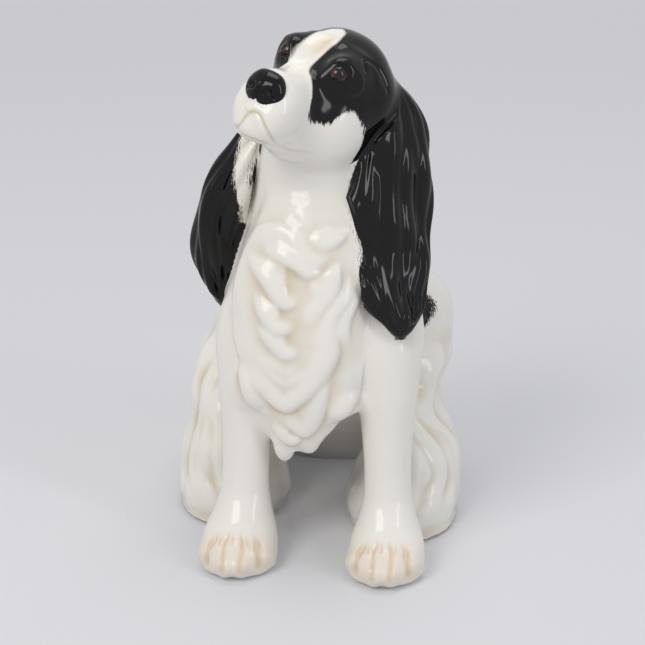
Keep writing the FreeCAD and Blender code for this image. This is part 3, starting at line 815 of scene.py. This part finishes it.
def head_paint(casting):
    """A black mask and crown with a white blaze, muzzle and cheeks, in brushed fringes."""
    places = to_head(casting.points)
    ahead, left, up = np.moveaxis(places, 2, 0)
    # Half the width of the white blaze up the forehead, whose middle lies a little to the dog's right
    blaze = np.interp(ahead, [4, 9, 13, 20, 27, 31, 34, 38, 43], [-4, 1.5, 6, 8.4, 7.4, 6.6, 7.6, 12, 30])
    from_blaze = np.where(up > -16, np.abs(left + 5.2) - blaze, FAR)
    # The mask's front edge, by height, runs down beside the muzzle
    front = np.interp(up, [-27, -19.6, -13.7, -5.4, -0.4, 3.3, 6, 9],
                      [35, 38.7, 42.7, 40.8, 38, 36, 38, 48])
    # Its lower edge, by place ahead, lifts over the white cheek and drops behind it to the ear
    under = np.interp(ahead, [-4, 0, 4, 8.4, 13.4, 17.8, 23, 25.2, 27.4, 31, 38.7],
                      [-62, -34, -19, -12.3, -8.8, -5.7, -7.8, -11.4, -16.8, -18.7, -19.8])
    ink = np.minimum(np.minimum(from_blaze, front - ahead), up - under)
    casting.paint["ink"] = casting.blurred(np.clip(ink, -12, 12), 1.2)
    casting.paint["fringe"] = 0.35 + 2.0 * smooth_step(-2, -12, up) + 1.8 * smooth_step(19, 9, ahead)
    # A tan patch on the forehead, in place of the glaze pooling and painted shade that its furrow would
    # take
    forehead = smooth_step(-2, 5, up)
    tint = 0.85 * hump(ahead, 23, 5) * hump(left, -3, 4.5) * forehead
    # Painted shade: the mouth's crease and the jaw's lower edge darkened in the beige of the hollows
    lines = 0.5 * groove(places, MOUTH_LINE, 0.95, 0.15) + 0.3 * groove(places, JAW_LINE, 1.4, 0.5)
    casting.paint["hollow"] = np.clip(casting.paint["hollow"] * (1 - 0.85 * forehead) + tint + lines, 0, 1)
    ear_shadow(casting)


def eye_gaze(side):
    """The way that one eye looks, as told from the skull: the right eye mirrors the left one."""
    return unit(EYE_GAZE * np.array([1, np.sign(EYES[side][1]), 1]))


def lid_curve(side):
    """An almond round the eye: a circle drawn out at the corners, on a ball a little over the eye."""
    angle = full_turn(96)
    along = EYE_RADIUS * 0.98 * np.cos(angle)
    rise = EYE_RADIUS * (0.78 * np.sin(angle) - 0.06 * np.cos(2 * angle))
    gaze = eye_gaze(side)
    across = unit(np.cross([0, 0, 1], gaze))
    over = np.cross(gaze, across)
    flat = along[:, None] * across + rise[:, None] * over
    depth = np.sqrt(np.maximum((EYE_RADIUS * 1.02) ** 2 - (flat ** 2).sum(1), 1.0))
    return EYES[side] + flat + depth[:, None] * gaze


# Points round the tube of an eyelid
TUBE_SIDES = 20


def closed_tube(path, radius):
    """A tube carried round a closed path: a circle square to the path at each of its points."""
    tangent = unit(np.roll(path, -1, 0) - np.roll(path, 1, 0))
    out = path - path.mean(0)
    out = unit(out - (out * tangent).sum(1, keepdims=True) * tangent)
    side = np.cross(tangent, out)
    angle = full_turn(TUBE_SIDES)[:, None]
    circles = np.cos(angle) * out[:, None] + np.sin(angle) * side[:, None]
    points = (path[:, None] + radius[:, None, None] * circles).reshape(-1, 3)
    faces = grid_faces(len(path) + 1, TUBE_SIDES)[0] % len(points)
    return points, [faces[:, TURNED_OVER]]


def ball(middle, radii, pole, rows=64, columns=96):
    """A closed egg on a grid of circles round its pole, and each point's angle from the pole in degrees."""
    pole = unit(np.array(pole, float))
    first = unit(np.cross(pole, [0.3, 0.2, 1.0]))
    second = np.cross(pole, first)
    tilt = np.linspace(0, math.pi, rows)[1:-1, None, None]
    turn = full_turn(columns)[:, None]
    grid = np.cos(tilt) * pole + np.sin(tilt) * (np.cos(turn) * first + np.sin(turn) * second)
    points = np.vstack([grid.reshape(-1, 3), pole, -pole])
    quads, low_fan, high_fan = grid_faces(rows - 2, columns)
    angles = np.degrees(np.arccos(np.clip(points @ pole, -1, 1)))
    face_groups = [quads[:, TURNED_OVER], low_fan[:, ::-1], high_fan[:, ::-1]]
    return points * radii + middle, face_groups, angles


def head_mesh(name, points, face_groups):
    """A mesh of points told from the middle of the skull."""
    mesh = bpy.data.meshes.new(name)
    fill_mesh(mesh, (from_head(*points.T) + ORIGIN) * MM, face_groups)
    return mesh


def nose_points(points):
    """Presses two nostrils, a comma beside each and a parting into the nose, and lifts its wings."""
    ahead, left, up = points.T
    aside = np.abs(left)
    front = smooth_step(0.5, 4, ahead)
    nostril = hump(aside, 5.2, 2.0) * hump(up, -0.6, 1.7) * front
    comma = hump(aside, 8.0, 1.8) * hump(up, -2.4, 1.1) * front
    parting = hump(left, 0, 0.8) * front * smooth_step(4, -1, up)
    ahead = ahead - 2.2 * nostril - 1.6 * comma - 0.8 * parting
    up = up + 0.6 * hump(aside, 6.5, 3.0) * (up > 0)
    return np.stack([ahead, left, up], 1)


# Finishes


def linear(hex_colour):
    """An sRGB hex colour as linear light, with an alpha of 1."""
    channels = [int(hex_colour[i:i + 2], 16) / 255 for i in (1, 3, 5)]
    return tuple(c / 12.92 if c <= 0.04045 else ((c + 0.055) / 1.055) ** 2.4 for c in channels) + (1.0,)


def add_node(tree, kind, settings=None, **inputs):
    """Adds a node with its settings; an input is a value, or another node's output to link it to.

    An input goes by its socket's name, or by i and the socket's number.
    """
    node = tree.nodes.new(kind)
    for key, value in (settings or {}).items():
        setattr(node, key, value)
    for key, value in inputs.items():
        socket = node.inputs[int(key[1:]) if key[1:].isdigit() else key.replace("_", " ")]
        if isinstance(value, bpy.types.NodeSocket):
            tree.links.new(value, socket)
        else:
            socket.default_value = value
    return node


# Settings that several nodes share
SOFT_STEP = {"interpolation_type": "SMOOTHSTEP"}
COLOURS = {"data_type": "RGBA"}


def new_material(name):
    """An empty node material and its tree."""
    material = bpy.data.materials.new(name)
    material.use_nodes = True
    material.node_tree.nodes.clear()
    return material, material.node_tree


def painted_glaze(settings):
    """Clear glaze over ivory earthenware with black brushwork: glossy, and warm where glaze pools and
    painted shade falls in hollows.
    """
    material, tree = new_material("glazed_earthenware")
    ink, fringe, hollow, blush = (
        add_node(tree, "ShaderNodeAttribute", {"attribute_name": name}).outputs["Fac"]
        for name in ("ink", "fringe", "hollow", "blush"))
    place = add_node(tree, "ShaderNodeTexCoord").outputs["Object"]
    # Brush hairs about 0.7 mm apart and 6 mm long, which run down the coat
    hairs = add_node(tree, "ShaderNodeMapping", Vector=place, Scale=(1400, 1400, 170)).outputs[0]
    bristle = add_node(tree, "ShaderNodeTexNoise", Vector=hairs, Scale=1.0, Detail=2.0,
                       Roughness=0.6).outputs["Fac"]
    ragged = add_node(tree, "ShaderNodeMapRange", {"clamp": False}, Value=bristle, To_Min=-1.6,
                      To_Max=1.6).outputs[0]
    edge = add_node(tree, "ShaderNodeMath", {"operation": "MULTIPLY_ADD"}, i0=ragged, i1=fringe,
                    i2=ink).outputs[0]
    black = add_node(tree, "ShaderNodeMapRange", SOFT_STEP, Value=edge, From_Min=0.0,
                     From_Max=0.45).outputs[0]
    thin = add_node(tree, "ShaderNodeMapRange", SOFT_STEP, Value=edge, From_Min=-1.4, From_Max=0.35,
                    To_Max=0.85).outputs[0]
    # The hollows' colour is glaze pooling and painted shade together, made uneven by a cloud
    cloud = add_node(tree, "ShaderNodeTexNoise", Vector=place, Scale=60.0, Detail=3.0).outputs["Fac"]
    uneven = add_node(tree, "ShaderNodeMath", {"operation": "ADD"}, i0=cloud, i1=0.35).outputs[0]
    pooled_glaze_and_shade = add_node(tree, "ShaderNodeMath", {"operation": "MULTIPLY", "use_clamp": True}, i0=hollow,
                      i1=uneven).outputs[0]
    # Laid over the white one after another: glaze pooling with painted shade, the toes' brushwork, thin
    # black and full black
    colour = linear(settings.white)
    for share, over in ((pooled_glaze_and_shade, settings.pooled_glaze_and_shade), (blush, settings.blush), (thin, settings.thin_ink),
                        (black, settings.ink)):
        colour = add_node(tree, "ShaderNodeMix", COLOURS, i0=share, i6=colour, i7=linear(over)).outputs[2]
    # The glaze lies a little unevenly, in swells some 7 mm across
    swell = add_node(tree, "ShaderNodeTexNoise", Vector=place, Scale=140.0, Detail=1.0).outputs["Fac"]
    bump = add_node(tree, "ShaderNodeBump", Strength=0.12, Distance=0.0006, Height=swell).outputs[0]
    shader = add_node(tree, "ShaderNodeBsdfPrincipled", Base_Color=colour, Roughness=settings.roughness,
                      IOR=1.5, Specular_IOR_Level=0.3, Normal=bump)
    add_node(tree, "ShaderNodeOutputMaterial", Surface=shader.outputs[0])
    return material


def thick_black_glaze(settings):
    """Solid black under clear glaze, as on the nose and the eyelids: the glossiest finish."""
    material, tree = new_material("thick_black_glaze")
    place = add_node(tree, "ShaderNodeTexCoord").outputs["Object"]
    # Shallow dimples about 2 mm apart
    dimples = add_node(tree, "ShaderNodeTexNoise", Vector=place, Scale=420.0, Detail=1.0).outputs["Fac"]
    bump = add_node(tree, "ShaderNodeBump", Strength=0.12, Distance=0.0002, Height=dimples).outputs[0]
    shader = add_node(tree, "ShaderNodeBsdfPrincipled", Base_Color=linear(settings.nose), Roughness=0.07,
                      IOR=1.45, Specular_IOR_Level=0.36, Normal=bump)
    add_node(tree, "ShaderNodeOutputMaterial", Surface=shader.outputs[0])
    return material


def eye_glaze(settings):
    """Dark brown iris and black pupil under a thick clear glaze, in rings round the way the eye looks."""
    material, tree = new_material("eye_glaze")
    gaze = add_node(tree, "ShaderNodeAttribute", {"attribute_name": "gaze"}).outputs["Fac"]
    place = add_node(tree, "ShaderNodeTexCoord").outputs["Object"]
    # Flecks under 1 mm across, which shift the rings by up to 3 degrees
    mottle = add_node(tree, "ShaderNodeTexNoise", Vector=place, Scale=1200.0, Detail=2.0).outputs["Fac"]
    shift = add_node(tree, "ShaderNodeMapRange", {"clamp": False}, Value=mottle, To_Min=-3.0,
                     To_Max=3.0).outputs[0]
    ring = add_node(tree, "ShaderNodeMath", {"operation": "ADD"}, i0=gaze, i1=shift).outputs[0]
    # The pupil's edge, the iris's outer edge and the iris's darkening outwards, in degrees from the gaze
    pupil, rim, outwards = (
        add_node(tree, "ShaderNodeMapRange", SOFT_STEP, Value=ring, From_Min=begin, From_Max=end).outputs[0]
        for begin, end in ((43.0, 35.0), (52.0, 62.0), (40.0, 56.0)))
    iris = add_node(tree, "ShaderNodeMix", COLOURS, i0=outwards, i6=linear(settings.iris),
                    i7=linear(settings.iris_rim)).outputs[2]
    dark = add_node(tree, "ShaderNodeMath", {"operation": "MAXIMUM"}, i0=pupil, i1=rim).outputs[0]
    colour = add_node(tree, "ShaderNodeMix", COLOURS, i0=dark, i6=iris, i7=linear(settings.ink)).outputs[2]
    shader = add_node(tree, "ShaderNodeBsdfPrincipled", Base_Color=colour, Roughness=0.04, IOR=1.5)
    add_node(tree, "ShaderNodeOutputMaterial", Surface=shader.outputs[0])
    return material


def finish(name, maker, settings):
    """A finish that several pieces share, made the first time it is asked for.

    Its name isn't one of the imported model's slots, whose plain materials are in the file already.
    """
    return bpy.data.materials.get(name) or maker(settings)


def hex_property(name, description, default):
    """A colour written as a hex value."""
    return bpy.props.StringProperty(name=name, description=description, default=default)


class SpanielGlazeSettings(bpy.types.PropertyGroup):
    """Colours and gloss of the glazes."""

    white: hex_property("White glaze", "Clear glaze over ivory earthenware", "#EBE8E0")
    # Also the colour of painted shade in the hollows and folds of the relief
    pooled_glaze_and_shade: hex_property("Pooled glaze", "Where the glaze gathers in hollows", "#CFBE9E")
    blush: hex_property("Blush", "Peach brushwork on the toes", "#DDC3A8")
    ink: hex_property("Black", "Black brushwork under the glaze", "#0E0E0F")
    thin_ink: hex_property("Thin black", "Brown where the brushwork is thin", "#6A5040")
    nose: hex_property("Nose", "Thick black of the nose and the lids", "#070708")
    iris: hex_property("Iris", "Brown of the eye", "#5A2C14")
    iris_rim: hex_property("Iris rim", "Dark rim of the iris", "#2A150C")
    roughness: bpy.props.FloatProperty(name="Roughness", description="Roughness of the glaze", default=0.11,
                                       min=0.0, max=1.0, subtype="FACTOR")


class SpanielStudioSettings(bpy.types.PropertyGroup):
    """Where the camera stands, and the colour of the floor."""

    azimuth: bpy.props.FloatProperty(name="Azimuth",
                                     description="Camera's turn round the dog from its front",
                                     default=math.radians(7), subtype="ANGLE", unit="ROTATION")
    elevation: bpy.props.FloatProperty(name="Elevation", description="Camera's height above the level",
                                       default=math.radians(22), subtype="ANGLE", unit="ROTATION")
    distance: bpy.props.FloatProperty(name="Distance", description="Camera's distance from its target",
                                      default=1.05, subtype="DISTANCE", unit="LENGTH")
    lens: bpy.props.FloatProperty(name="Lens", description="Focal length in millimetres", default=103.67)
    floor: hex_property("Floor", "Colour of the floor and backdrop", "#DADADE")


def build_casting(name, own_relief, paint, others, **grid):
    """Grows one casting, gives it its relief and paint, and puts it in the scene."""
    casting = Casting(name, others, **grid)
    if own_relief:
        casting.raise_by(own_relief(casting))
    plain_paint(casting)
    paint(casting)
    material = finish("glazed_earthenware", painted_glaze, bpy.context.scene.spaniel_glaze)
    add_piece(f"spaniel_{name}", casting.mesh(name), material, [name])


# The right ear is white beside the neck, from this place across the body inwards and between these heights
WHITE_STRIP = -46
WHITE_LOW, WHITE_HIGH = 180, 246


def ear_shadow(casting):
    """Black runs off the ears onto what they lie on in a ragged fringe, but not off the white strip."""
    points = casting.flat()
    across, up = points[:, 0], points[:, 2]
    beside_strip = (smooth_step(WHITE_STRIP, WHITE_STRIP + 4, across)
                    * smooth_step(WHITE_LOW - 4, WHITE_LOW, up)
                    * smooth_step(WHITE_HIGH + 4, WHITE_HIGH, up))
    near = np.minimum(FORMS["left_ear"][0](points), FORMS["right_ear"][0](points) + 8 * beside_strip)
    ink_at(casting, 0.6 - near.reshape(casting.shape), 2.2)


# The black patch on the left hip: its middle along the body and up, and its radius along the body
PATCH_ALONG, PATCH_UP, PATCH_RADIUS = 6, 128, 16


def hip_paint(casting):
    """A soft-edged black patch on the dog's left hip, and what runs off the ears."""
    x, y, z = np.moveaxis(casting.points, 2, 0)
    away = np.hypot(y - PATCH_ALONG + 0.05 * (z - PATCH_UP), 0.72 * (z - PATCH_UP))
    uneven = 1.6 * np.sin(y / 5 + z / 8) + 1.1 * np.sin(z / 4 - y / 7)
    ink_at(casting, np.where(x > 20, PATCH_RADIUS - away + uneven, -FAR), 3.2)
    ear_shadow(casting)


def trunk_paint(casting):
    """The hip's patch where it runs over the seam, and the crown's black running down the nape."""
    hip_paint(casting)
    x, y, z = np.moveaxis(casting.points, 2, 0)
    head_gap = FORMS["head"][0](casting.flat()).reshape(casting.shape)
    behind = y + 12 + 0.15 * np.abs(x - 3) - 0.6
    ink_at(casting, np.minimum(11 - head_gap, behind), 3.0)


def tail_relief(casting):
    """Soft locks that run along the tail."""
    level = casting.level[:, None]
    locks = wave_locks(casting.angle[None, :], level, 8, 0.04, 1.0, 11, 0.8)
    ends = smooth_step(0, 8, level + 1) * smooth_step(0, 10, 42 - level)
    return casting.blurred((1.6 * locks - 0.9) * ends, 0.5)


# Brush strokes on the toes: each one's place across the paw, and where it starts and ends down the toes,
# from 0 to 1
PAW_STROKES = [
    (-16.5, 0.10, 0.62), (-13.2, 0.04, 0.70), (-9.4, 0.20, 0.55), (-5.6, 0.02, 0.78), (-1.6, 0.12, 0.50),
    (4.4, 0.03, 0.80), (8.6, 0.18, 0.55), (12.6, 0.05, 0.72), (16.2, 0.12, 0.60),
]


def paw_paint(casting):
    """Peach brushwork on the toes: a thin wash, and short strokes that fan out over it."""
    x, y, z = np.moveaxis(casting.points, 2, 0)
    grooves, across, run = toe_grooves(casting.points)
    strokes = 0.5 * grooves ** 2
    for place, start, end in PAW_STROKES:
        line = place * (0.74 + 0.3 * run) + 0.5 * np.sin(7 * run + place)
        ends = smooth_step(start - 0.22, start + 0.2, run) * smooth_step(end + 0.15, end - 0.12, run)
        strokes = np.maximum(strokes, hump(across, line, 0.8) * ends)
    wash = 0.3 * smooth_step(-0.35, 0.5, run) * smooth_step(34, 16, z)
    on_paw = smooth_step(-70, -76, y) * smooth_step(2, 5, z)
    strokes = strokes * smooth_step(4.5, 9, z)
    casting.paint["blush"] = np.clip((0.65 * strokes + wash) * on_paw, 0, 1)
    ear_shadow(casting)


def ear_paint(casting, side):
    """Black all over an ear; the right one's strip by the neck is white, with a fringe and a smudge."""
    x, y, z = np.moveaxis(casting.points, 2, 0)
    ink = np.full(casting.shape, FAR)
    if side == "right":
        near_neck = WHITE_STRIP - x + 1.6 * np.sin(z / 7)
        behind = 40 * smooth_step(-0.25, 0.1, casting.normals[..., 1])
        ends = 1.5 * (WHITE_LOW - z).clip(0) + 1.5 * (z - WHITE_HIGH).clip(0) + behind
        smudge = 1.2 - np.hypot((x + 36) / 1.6, (z - 207) / 4.5)
        ink = np.maximum(np.maximum(near_neck, -2.8), smudge) + ends
    ink_at(casting, np.minimum(ink, FAR), 2.6 if side == "right" else 1.0)


class OBJECT_OT_spaniel_trunk(bpy.types.Operator):
    """Build the trunk and neck"""

    bl_idname = "object.spaniel_trunk"
    bl_label = "Trunk"

    def execute(self, context):
        build_casting("trunk", None, trunk_paint,
                      ("left_haunch", "right_haunch", "tail", "left_foreleg", "right_foreleg", "chest_ruff",
                       "head", "left_ear", "right_ear"),
                      rows=TRUNK_ROWS, start=14, end=246, far=110, around=240, along=380)
        return {"FINISHED"}


class OBJECT_OT_spaniel_ruff(bpy.types.Operator):
    """Build the chest ruff with its swags"""

    bl_idname = "object.spaniel_ruff"
    bl_label = "Chest ruff"

    def execute(self, context):
        build_casting("chest_ruff", ruff_relief, ear_shadow,
                      ("trunk", "left_foreleg", "right_foreleg", "head", "left_ear", "right_ear"),
                      rows=RUFF_ROWS, start=78, end=207, far=60, around=260, along=360)
        return {"FINISHED"}


class OBJECT_OT_spaniel_forelegs(bpy.types.Operator):
    """Build both forelegs with their toes"""

    bl_idname = "object.spaniel_forelegs"
    bl_label = "Forelegs"

    def execute(self, context):
        for side, rows in (("left", LEFT_FORELEG_ROWS), ("right", RIGHT_FORELEG_ROWS)):
            build_casting(f"{side}_foreleg", foreleg_relief, paw_paint,
                          ("trunk", f"{side}_haunch", "chest_ruff", f"{side}_ear"),
                          rows=rows, start=10, end=158, far=50, around=200, along=400)
        return {"FINISHED"}


class OBJECT_OT_spaniel_haunches(bpy.types.Operator):
    """Build both haunches with their feathering"""

    bl_idname = "object.spaniel_haunches"
    bl_label = "Haunches"

    def execute(self, context):
        for side, sign, rows, lines in (("left", 1, LEFT_HAUNCH_ROWS, LEFT_FOLDS),
                                        ("right", -1, RIGHT_HAUNCH_ROWS, RIGHT_FOLDS)):
            build_casting(f"{side}_haunch", lambda casting: haunch_relief(casting, sign, lines), hip_paint,
                          ("trunk", f"{side}_foreleg", "tail", f"{side}_ear"),
                          rows=rows, start=16, end=138, far=90, around=300, along=300)
        return {"FINISHED"}


class OBJECT_OT_spaniel_tail(bpy.types.Operator):
    """Build the tail"""

    bl_idname = "object.spaniel_tail"
    bl_label = "Tail"

    def execute(self, context):
        build_casting("tail", tail_relief, lambda casting: None, ("trunk", "left_haunch", "right_haunch"),
                      rows=TAIL_ROWS, start=-1, end=42, far=25, around=120, along=120, order=LYING)
        return {"FINISHED"}


class OBJECT_OT_spaniel_head(bpy.types.Operator):
    """Build the head with its markings"""

    bl_idname = "object.spaniel_head"
    bl_label = "Head"

    def execute(self, context):
        build_casting("head", head_relief, head_paint, ("trunk", "chest_ruff", "left_ear", "right_ear"),
                      rows=SKULL_ROWS, start=-14, end=52, far=60, around=320, along=300, order=LYING)
        return {"FINISHED"}


class OBJECT_OT_spaniel_face(bpy.types.Operator):
    """Build the nose, the eyes and their lids"""

    bl_idname = "object.spaniel_face"
    bl_label = "Face"

    def execute(self, context):
        settings = context.scene.spaniel_glaze
        black = finish("thick_black_glaze", thick_black_glaze, settings)
        brown = finish("eye_glaze", eye_glaze, settings)
        points, faces, _ = ball(np.zeros(3), NOSE_RADII, (1, 0, 0.15), 90, 140)
        points = nose_points(points) + NOSE_MIDDLE
        add_piece("spaniel_nose", head_mesh("spaniel_nose", points, faces), black, [])
        for side, middle in EYES.items():
            points, faces, angles = ball(middle, (EYE_RADIUS,) * 3, eye_gaze(side))
            mesh = head_mesh(f"spaniel_{side}_eye", points, faces)
            layer = mesh.attributes.new("gaze", "FLOAT", "POINT")
            layer.data.foreach_set("value", angles.astype(np.float32))
            add_piece(f"spaniel_{side}_eye", mesh, brown, [])
            curve = lid_curve(side)
            thickness = 0.6 + 0.35 * np.clip((curve - curve.mean(0))[:, 2] / EYE_RADIUS, 0, 1)
            mesh = head_mesh(f"spaniel_{side}_lid", *closed_tube(curve, thickness))
            add_piece(f"spaniel_{side}_lid", mesh, black, [])
        return {"FINISHED"}


class OBJECT_OT_spaniel_ears(bpy.types.Operator):
    """Build both ears with their wavy locks"""

    bl_idname = "object.spaniel_ears"
    bl_label = "Ears"

    def execute(self, context):
        for side, seed, gather, rows, start, end in (("left", 0.4, 4.5, LEFT_EAR_ROWS, 139, 262),
                                                     ("right", 2.6, 0, RIGHT_EAR_ROWS, 133, 253)):
            build_casting(f"{side}_ear", lambda casting: ear_relief(casting, seed, gather),
                          lambda casting: ear_paint(casting, side),
                          ("trunk", "head", "chest_ruff", f"{side}_foreleg", f"{side}_haunch"),
                          rows=rows, start=start, end=end, far=50, around=240, along=400)
        return {"FINISHED"}


def add_aimed(name, data, place, target):
    """Puts a lamp or camera at a place in the frame, turned to its target."""
    holder = bpy.data.objects.new(name, data)
    holder.location = place
    holder.rotation_euler = (Vector(target) - Vector(place)).to_track_quat("-Z", "Y").to_euler()
    bpy.context.scene.collection.objects.link(holder)
    return holder


def add_softbox(name, place, target, size, power, colour):
    """Adds a wide soft lamp."""
    lamp = bpy.data.lights.new(name, "AREA")
    lamp.shape = "RECTANGLE"
    lamp.size, lamp.size_y = size
    lamp.energy = power
    lamp.color = linear(colour)[:3]
    add_aimed(name, lamp, place, target)


def background_seen(tree):
    """1 for rays that see the background: the camera's, and those off gloss or through glass."""
    path = add_node(tree, "ShaderNodeLightPath").outputs
    reflected = add_node(tree, "ShaderNodeMath", {"operation": "MAXIMUM"}, i0=path["Is Camera Ray"],
                         i1=path["Is Glossy Ray"]).outputs[0]
    return add_node(tree, "ShaderNodeMath", {"operation": "MAXIMUM"}, i0=reflected,
                    i1=path["Is Transmission Ray"]).outputs[0]


# The colour that the paper and the backdrop settle to away from the dog
PAPER_EVEN_HEX = "#D4D4D7"
# Half the paper's width in metres
PAPER_HALF = 6.0
# What the camera looks at, and the dog's middle for the lamps, in body millimetres
CAMERA_TARGET = (-0.2, -8.0, 119.4)
LAMP_TARGET = (0, 0, 140)
# Each lamp's place from the dog's middle and its size in metres, its power in watts, and its colour
SOFTBOXES = {
    "key_softbox": ((-0.7, -1.1, 1.2), (0.8, 0.8), 11.5, "#FFFDF8"),
    "fill_softbox": ((1.3, -0.8, 0.7), (0.25, 1.1), 4.5, "#F8FAFF"),
    "top_softbox": ((0.1, 0.3, 1.6), (1.0, 0.8), 7, "#FFFFFF"),
}


def studio_paper(settings):
    """Matt white paper: it takes the dog's soft shadow, and fades to one even pale grey away from it."""
    material, tree = new_material("studio_paper")
    shader = add_node(tree, "ShaderNodeBsdfPrincipled", Base_Color=linear(settings.floor), Roughness=0.9,
                      Specular_IOR_Level=0.1)
    # To the camera and in reflections the paper is partly its own even colour, as under a lamp of its own
    seen = background_seen(tree)
    even = add_node(tree, "ShaderNodeEmission", Color=linear(PAPER_EVEN_HEX), Strength=1.0)
    place = add_node(tree, "ShaderNodeTexCoord").outputs["Object"]
    away = add_node(tree, "ShaderNodeVectorMath", {"operation": "LENGTH"}, i0=place).outputs["Value"]
    near = add_node(tree, "ShaderNodeMapRange", SOFT_STEP, Value=away, From_Min=0.12, From_Max=0.5,
                    To_Min=0.1, To_Max=0.45).outputs[0]
    share = add_node(tree, "ShaderNodeMapRange", SOFT_STEP, Value=away, From_Min=0.5, From_Max=3.0,
                     To_Min=near, To_Max=1.0).outputs[0]
    share = add_node(tree, "ShaderNodeMath", {"operation": "MULTIPLY"}, i0=seen, i1=share).outputs[0]
    mixed = add_node(tree, "ShaderNodeMixShader", i0=share, i1=shader.outputs[0], i2=even.outputs[0])
    add_node(tree, "ShaderNodeOutputMaterial", Surface=mixed.outputs[0])
    return material


def studio_world():
    """Pale even light from all round, and the backdrop's own grey where it is seen."""
    world = bpy.data.worlds.new("studio_world")
    world.use_nodes = True
    sky = world.node_tree
    sky.nodes.clear()
    lighting = add_node(sky, "ShaderNodeBackground", Color=linear("#F4F5F8"), Strength=0.55)
    backdrop = add_node(sky, "ShaderNodeBackground", Color=linear(PAPER_EVEN_HEX), Strength=1.0)
    either = add_node(sky, "ShaderNodeMixShader", i0=background_seen(sky), i1=lighting.outputs[0],
                      i2=backdrop.outputs[0])
    add_node(sky, "ShaderNodeOutputWorld", Surface=either.outputs[0])
    return world


def studio_camera(settings):
    """The camera where the photographer's stood, on the arc that the settings give."""
    target = (ORIGIN + np.array(CAMERA_TARGET)) * MM
    back = np.array([math.sin(settings.azimuth) * math.cos(settings.elevation),
                     -math.cos(settings.azimuth) * math.cos(settings.elevation),
                     math.sin(settings.elevation)])
    camera = bpy.data.cameras.new("camera")
    camera.lens = settings.lens
    camera.sensor_width = 36
    camera.clip_end = 50
    return add_aimed("camera", camera, target + back * settings.distance, target)


class OBJECT_OT_spaniel_studio(bpy.types.Operator):
    """Build the floor, the light and the camera"""

    bl_idname = "object.spaniel_studio"
    bl_label = "Studio"

    def execute(self, context):
        scene = context.scene
        mesh = bpy.data.meshes.new("studio_floor")
        corners = PAPER_HALF * np.array([(-1, -1, 0), (1, -1, 0), (1, 1, 0), (-1, 1, 0)])
        fill_mesh(mesh, corners, [np.array([[0, 1, 2, 3]])])
        mesh.materials.append(studio_paper(scene.spaniel_studio))
        floor = bpy.data.objects.new("studio_floor", mesh)
        scene.collection.objects.link(floor)
        scene.world = studio_world()
        middle = (ORIGIN + np.array(LAMP_TARGET)) * MM
        for name, (offset, size, power, colour) in SOFTBOXES.items():
            add_softbox(name, middle + np.array(offset), middle, size, power, colour)
        scene.camera = studio_camera(scene.spaniel_studio)
        scene.view_settings.view_transform = "Standard"
        return {"FINISHED"}


class VIEW3D_PT_spaniel(bpy.types.Panel):
    """Lists the ornament's operators"""

    bl_label = "Seated Spaniel"
    bl_idname = "VIEW3D_PT_spaniel"
    bl_space_type = "VIEW_3D"
    bl_region_type = "UI"
    bl_category = "Spaniel"

    def draw(self, context):
        for operator in OPERATORS:
            self.layout.operator(operator.bl_idname)


OPERATORS = (OBJECT_OT_spaniel_trunk, OBJECT_OT_spaniel_ruff, OBJECT_OT_spaniel_forelegs,
             OBJECT_OT_spaniel_haunches, OBJECT_OT_spaniel_tail, OBJECT_OT_spaniel_head,
             OBJECT_OT_spaniel_face, OBJECT_OT_spaniel_ears, OBJECT_OT_spaniel_studio)
CLASSES = (SpanielGlazeSettings, SpanielStudioSettings) + OPERATORS + (VIEW3D_PT_spaniel,)


def register():
    """Registers the settings, the operators and the panel."""
    for item in CLASSES:
        bpy.utils.register_class(item)
    bpy.types.Scene.spaniel_glaze = bpy.props.PointerProperty(type=SpanielGlazeSettings)
    bpy.types.Scene.spaniel_studio = bpy.props.PointerProperty(type=SpanielStudioSettings)


def unregister():
    """Takes them away again."""
    del bpy.types.Scene.spaniel_studio
    del bpy.types.Scene.spaniel_glaze
    for item in reversed(CLASSES):
        bpy.utils.unregister_class(item)


def main():
    """Builds the whole scene."""
    register()
    bpy.ops.object.spaniel_trunk()
    bpy.ops.object.spaniel_ruff()
    bpy.ops.object.spaniel_forelegs()
    bpy.ops.object.spaniel_haunches()
    bpy.ops.object.spaniel_tail()
    bpy.ops.object.spaniel_head()
    bpy.ops.object.spaniel_face()
    bpy.ops.object.spaniel_ears()
    bpy.ops.object.spaniel_studio()
    bpy.context.view_layer.update()


if __name__ == "__main__":
    main()
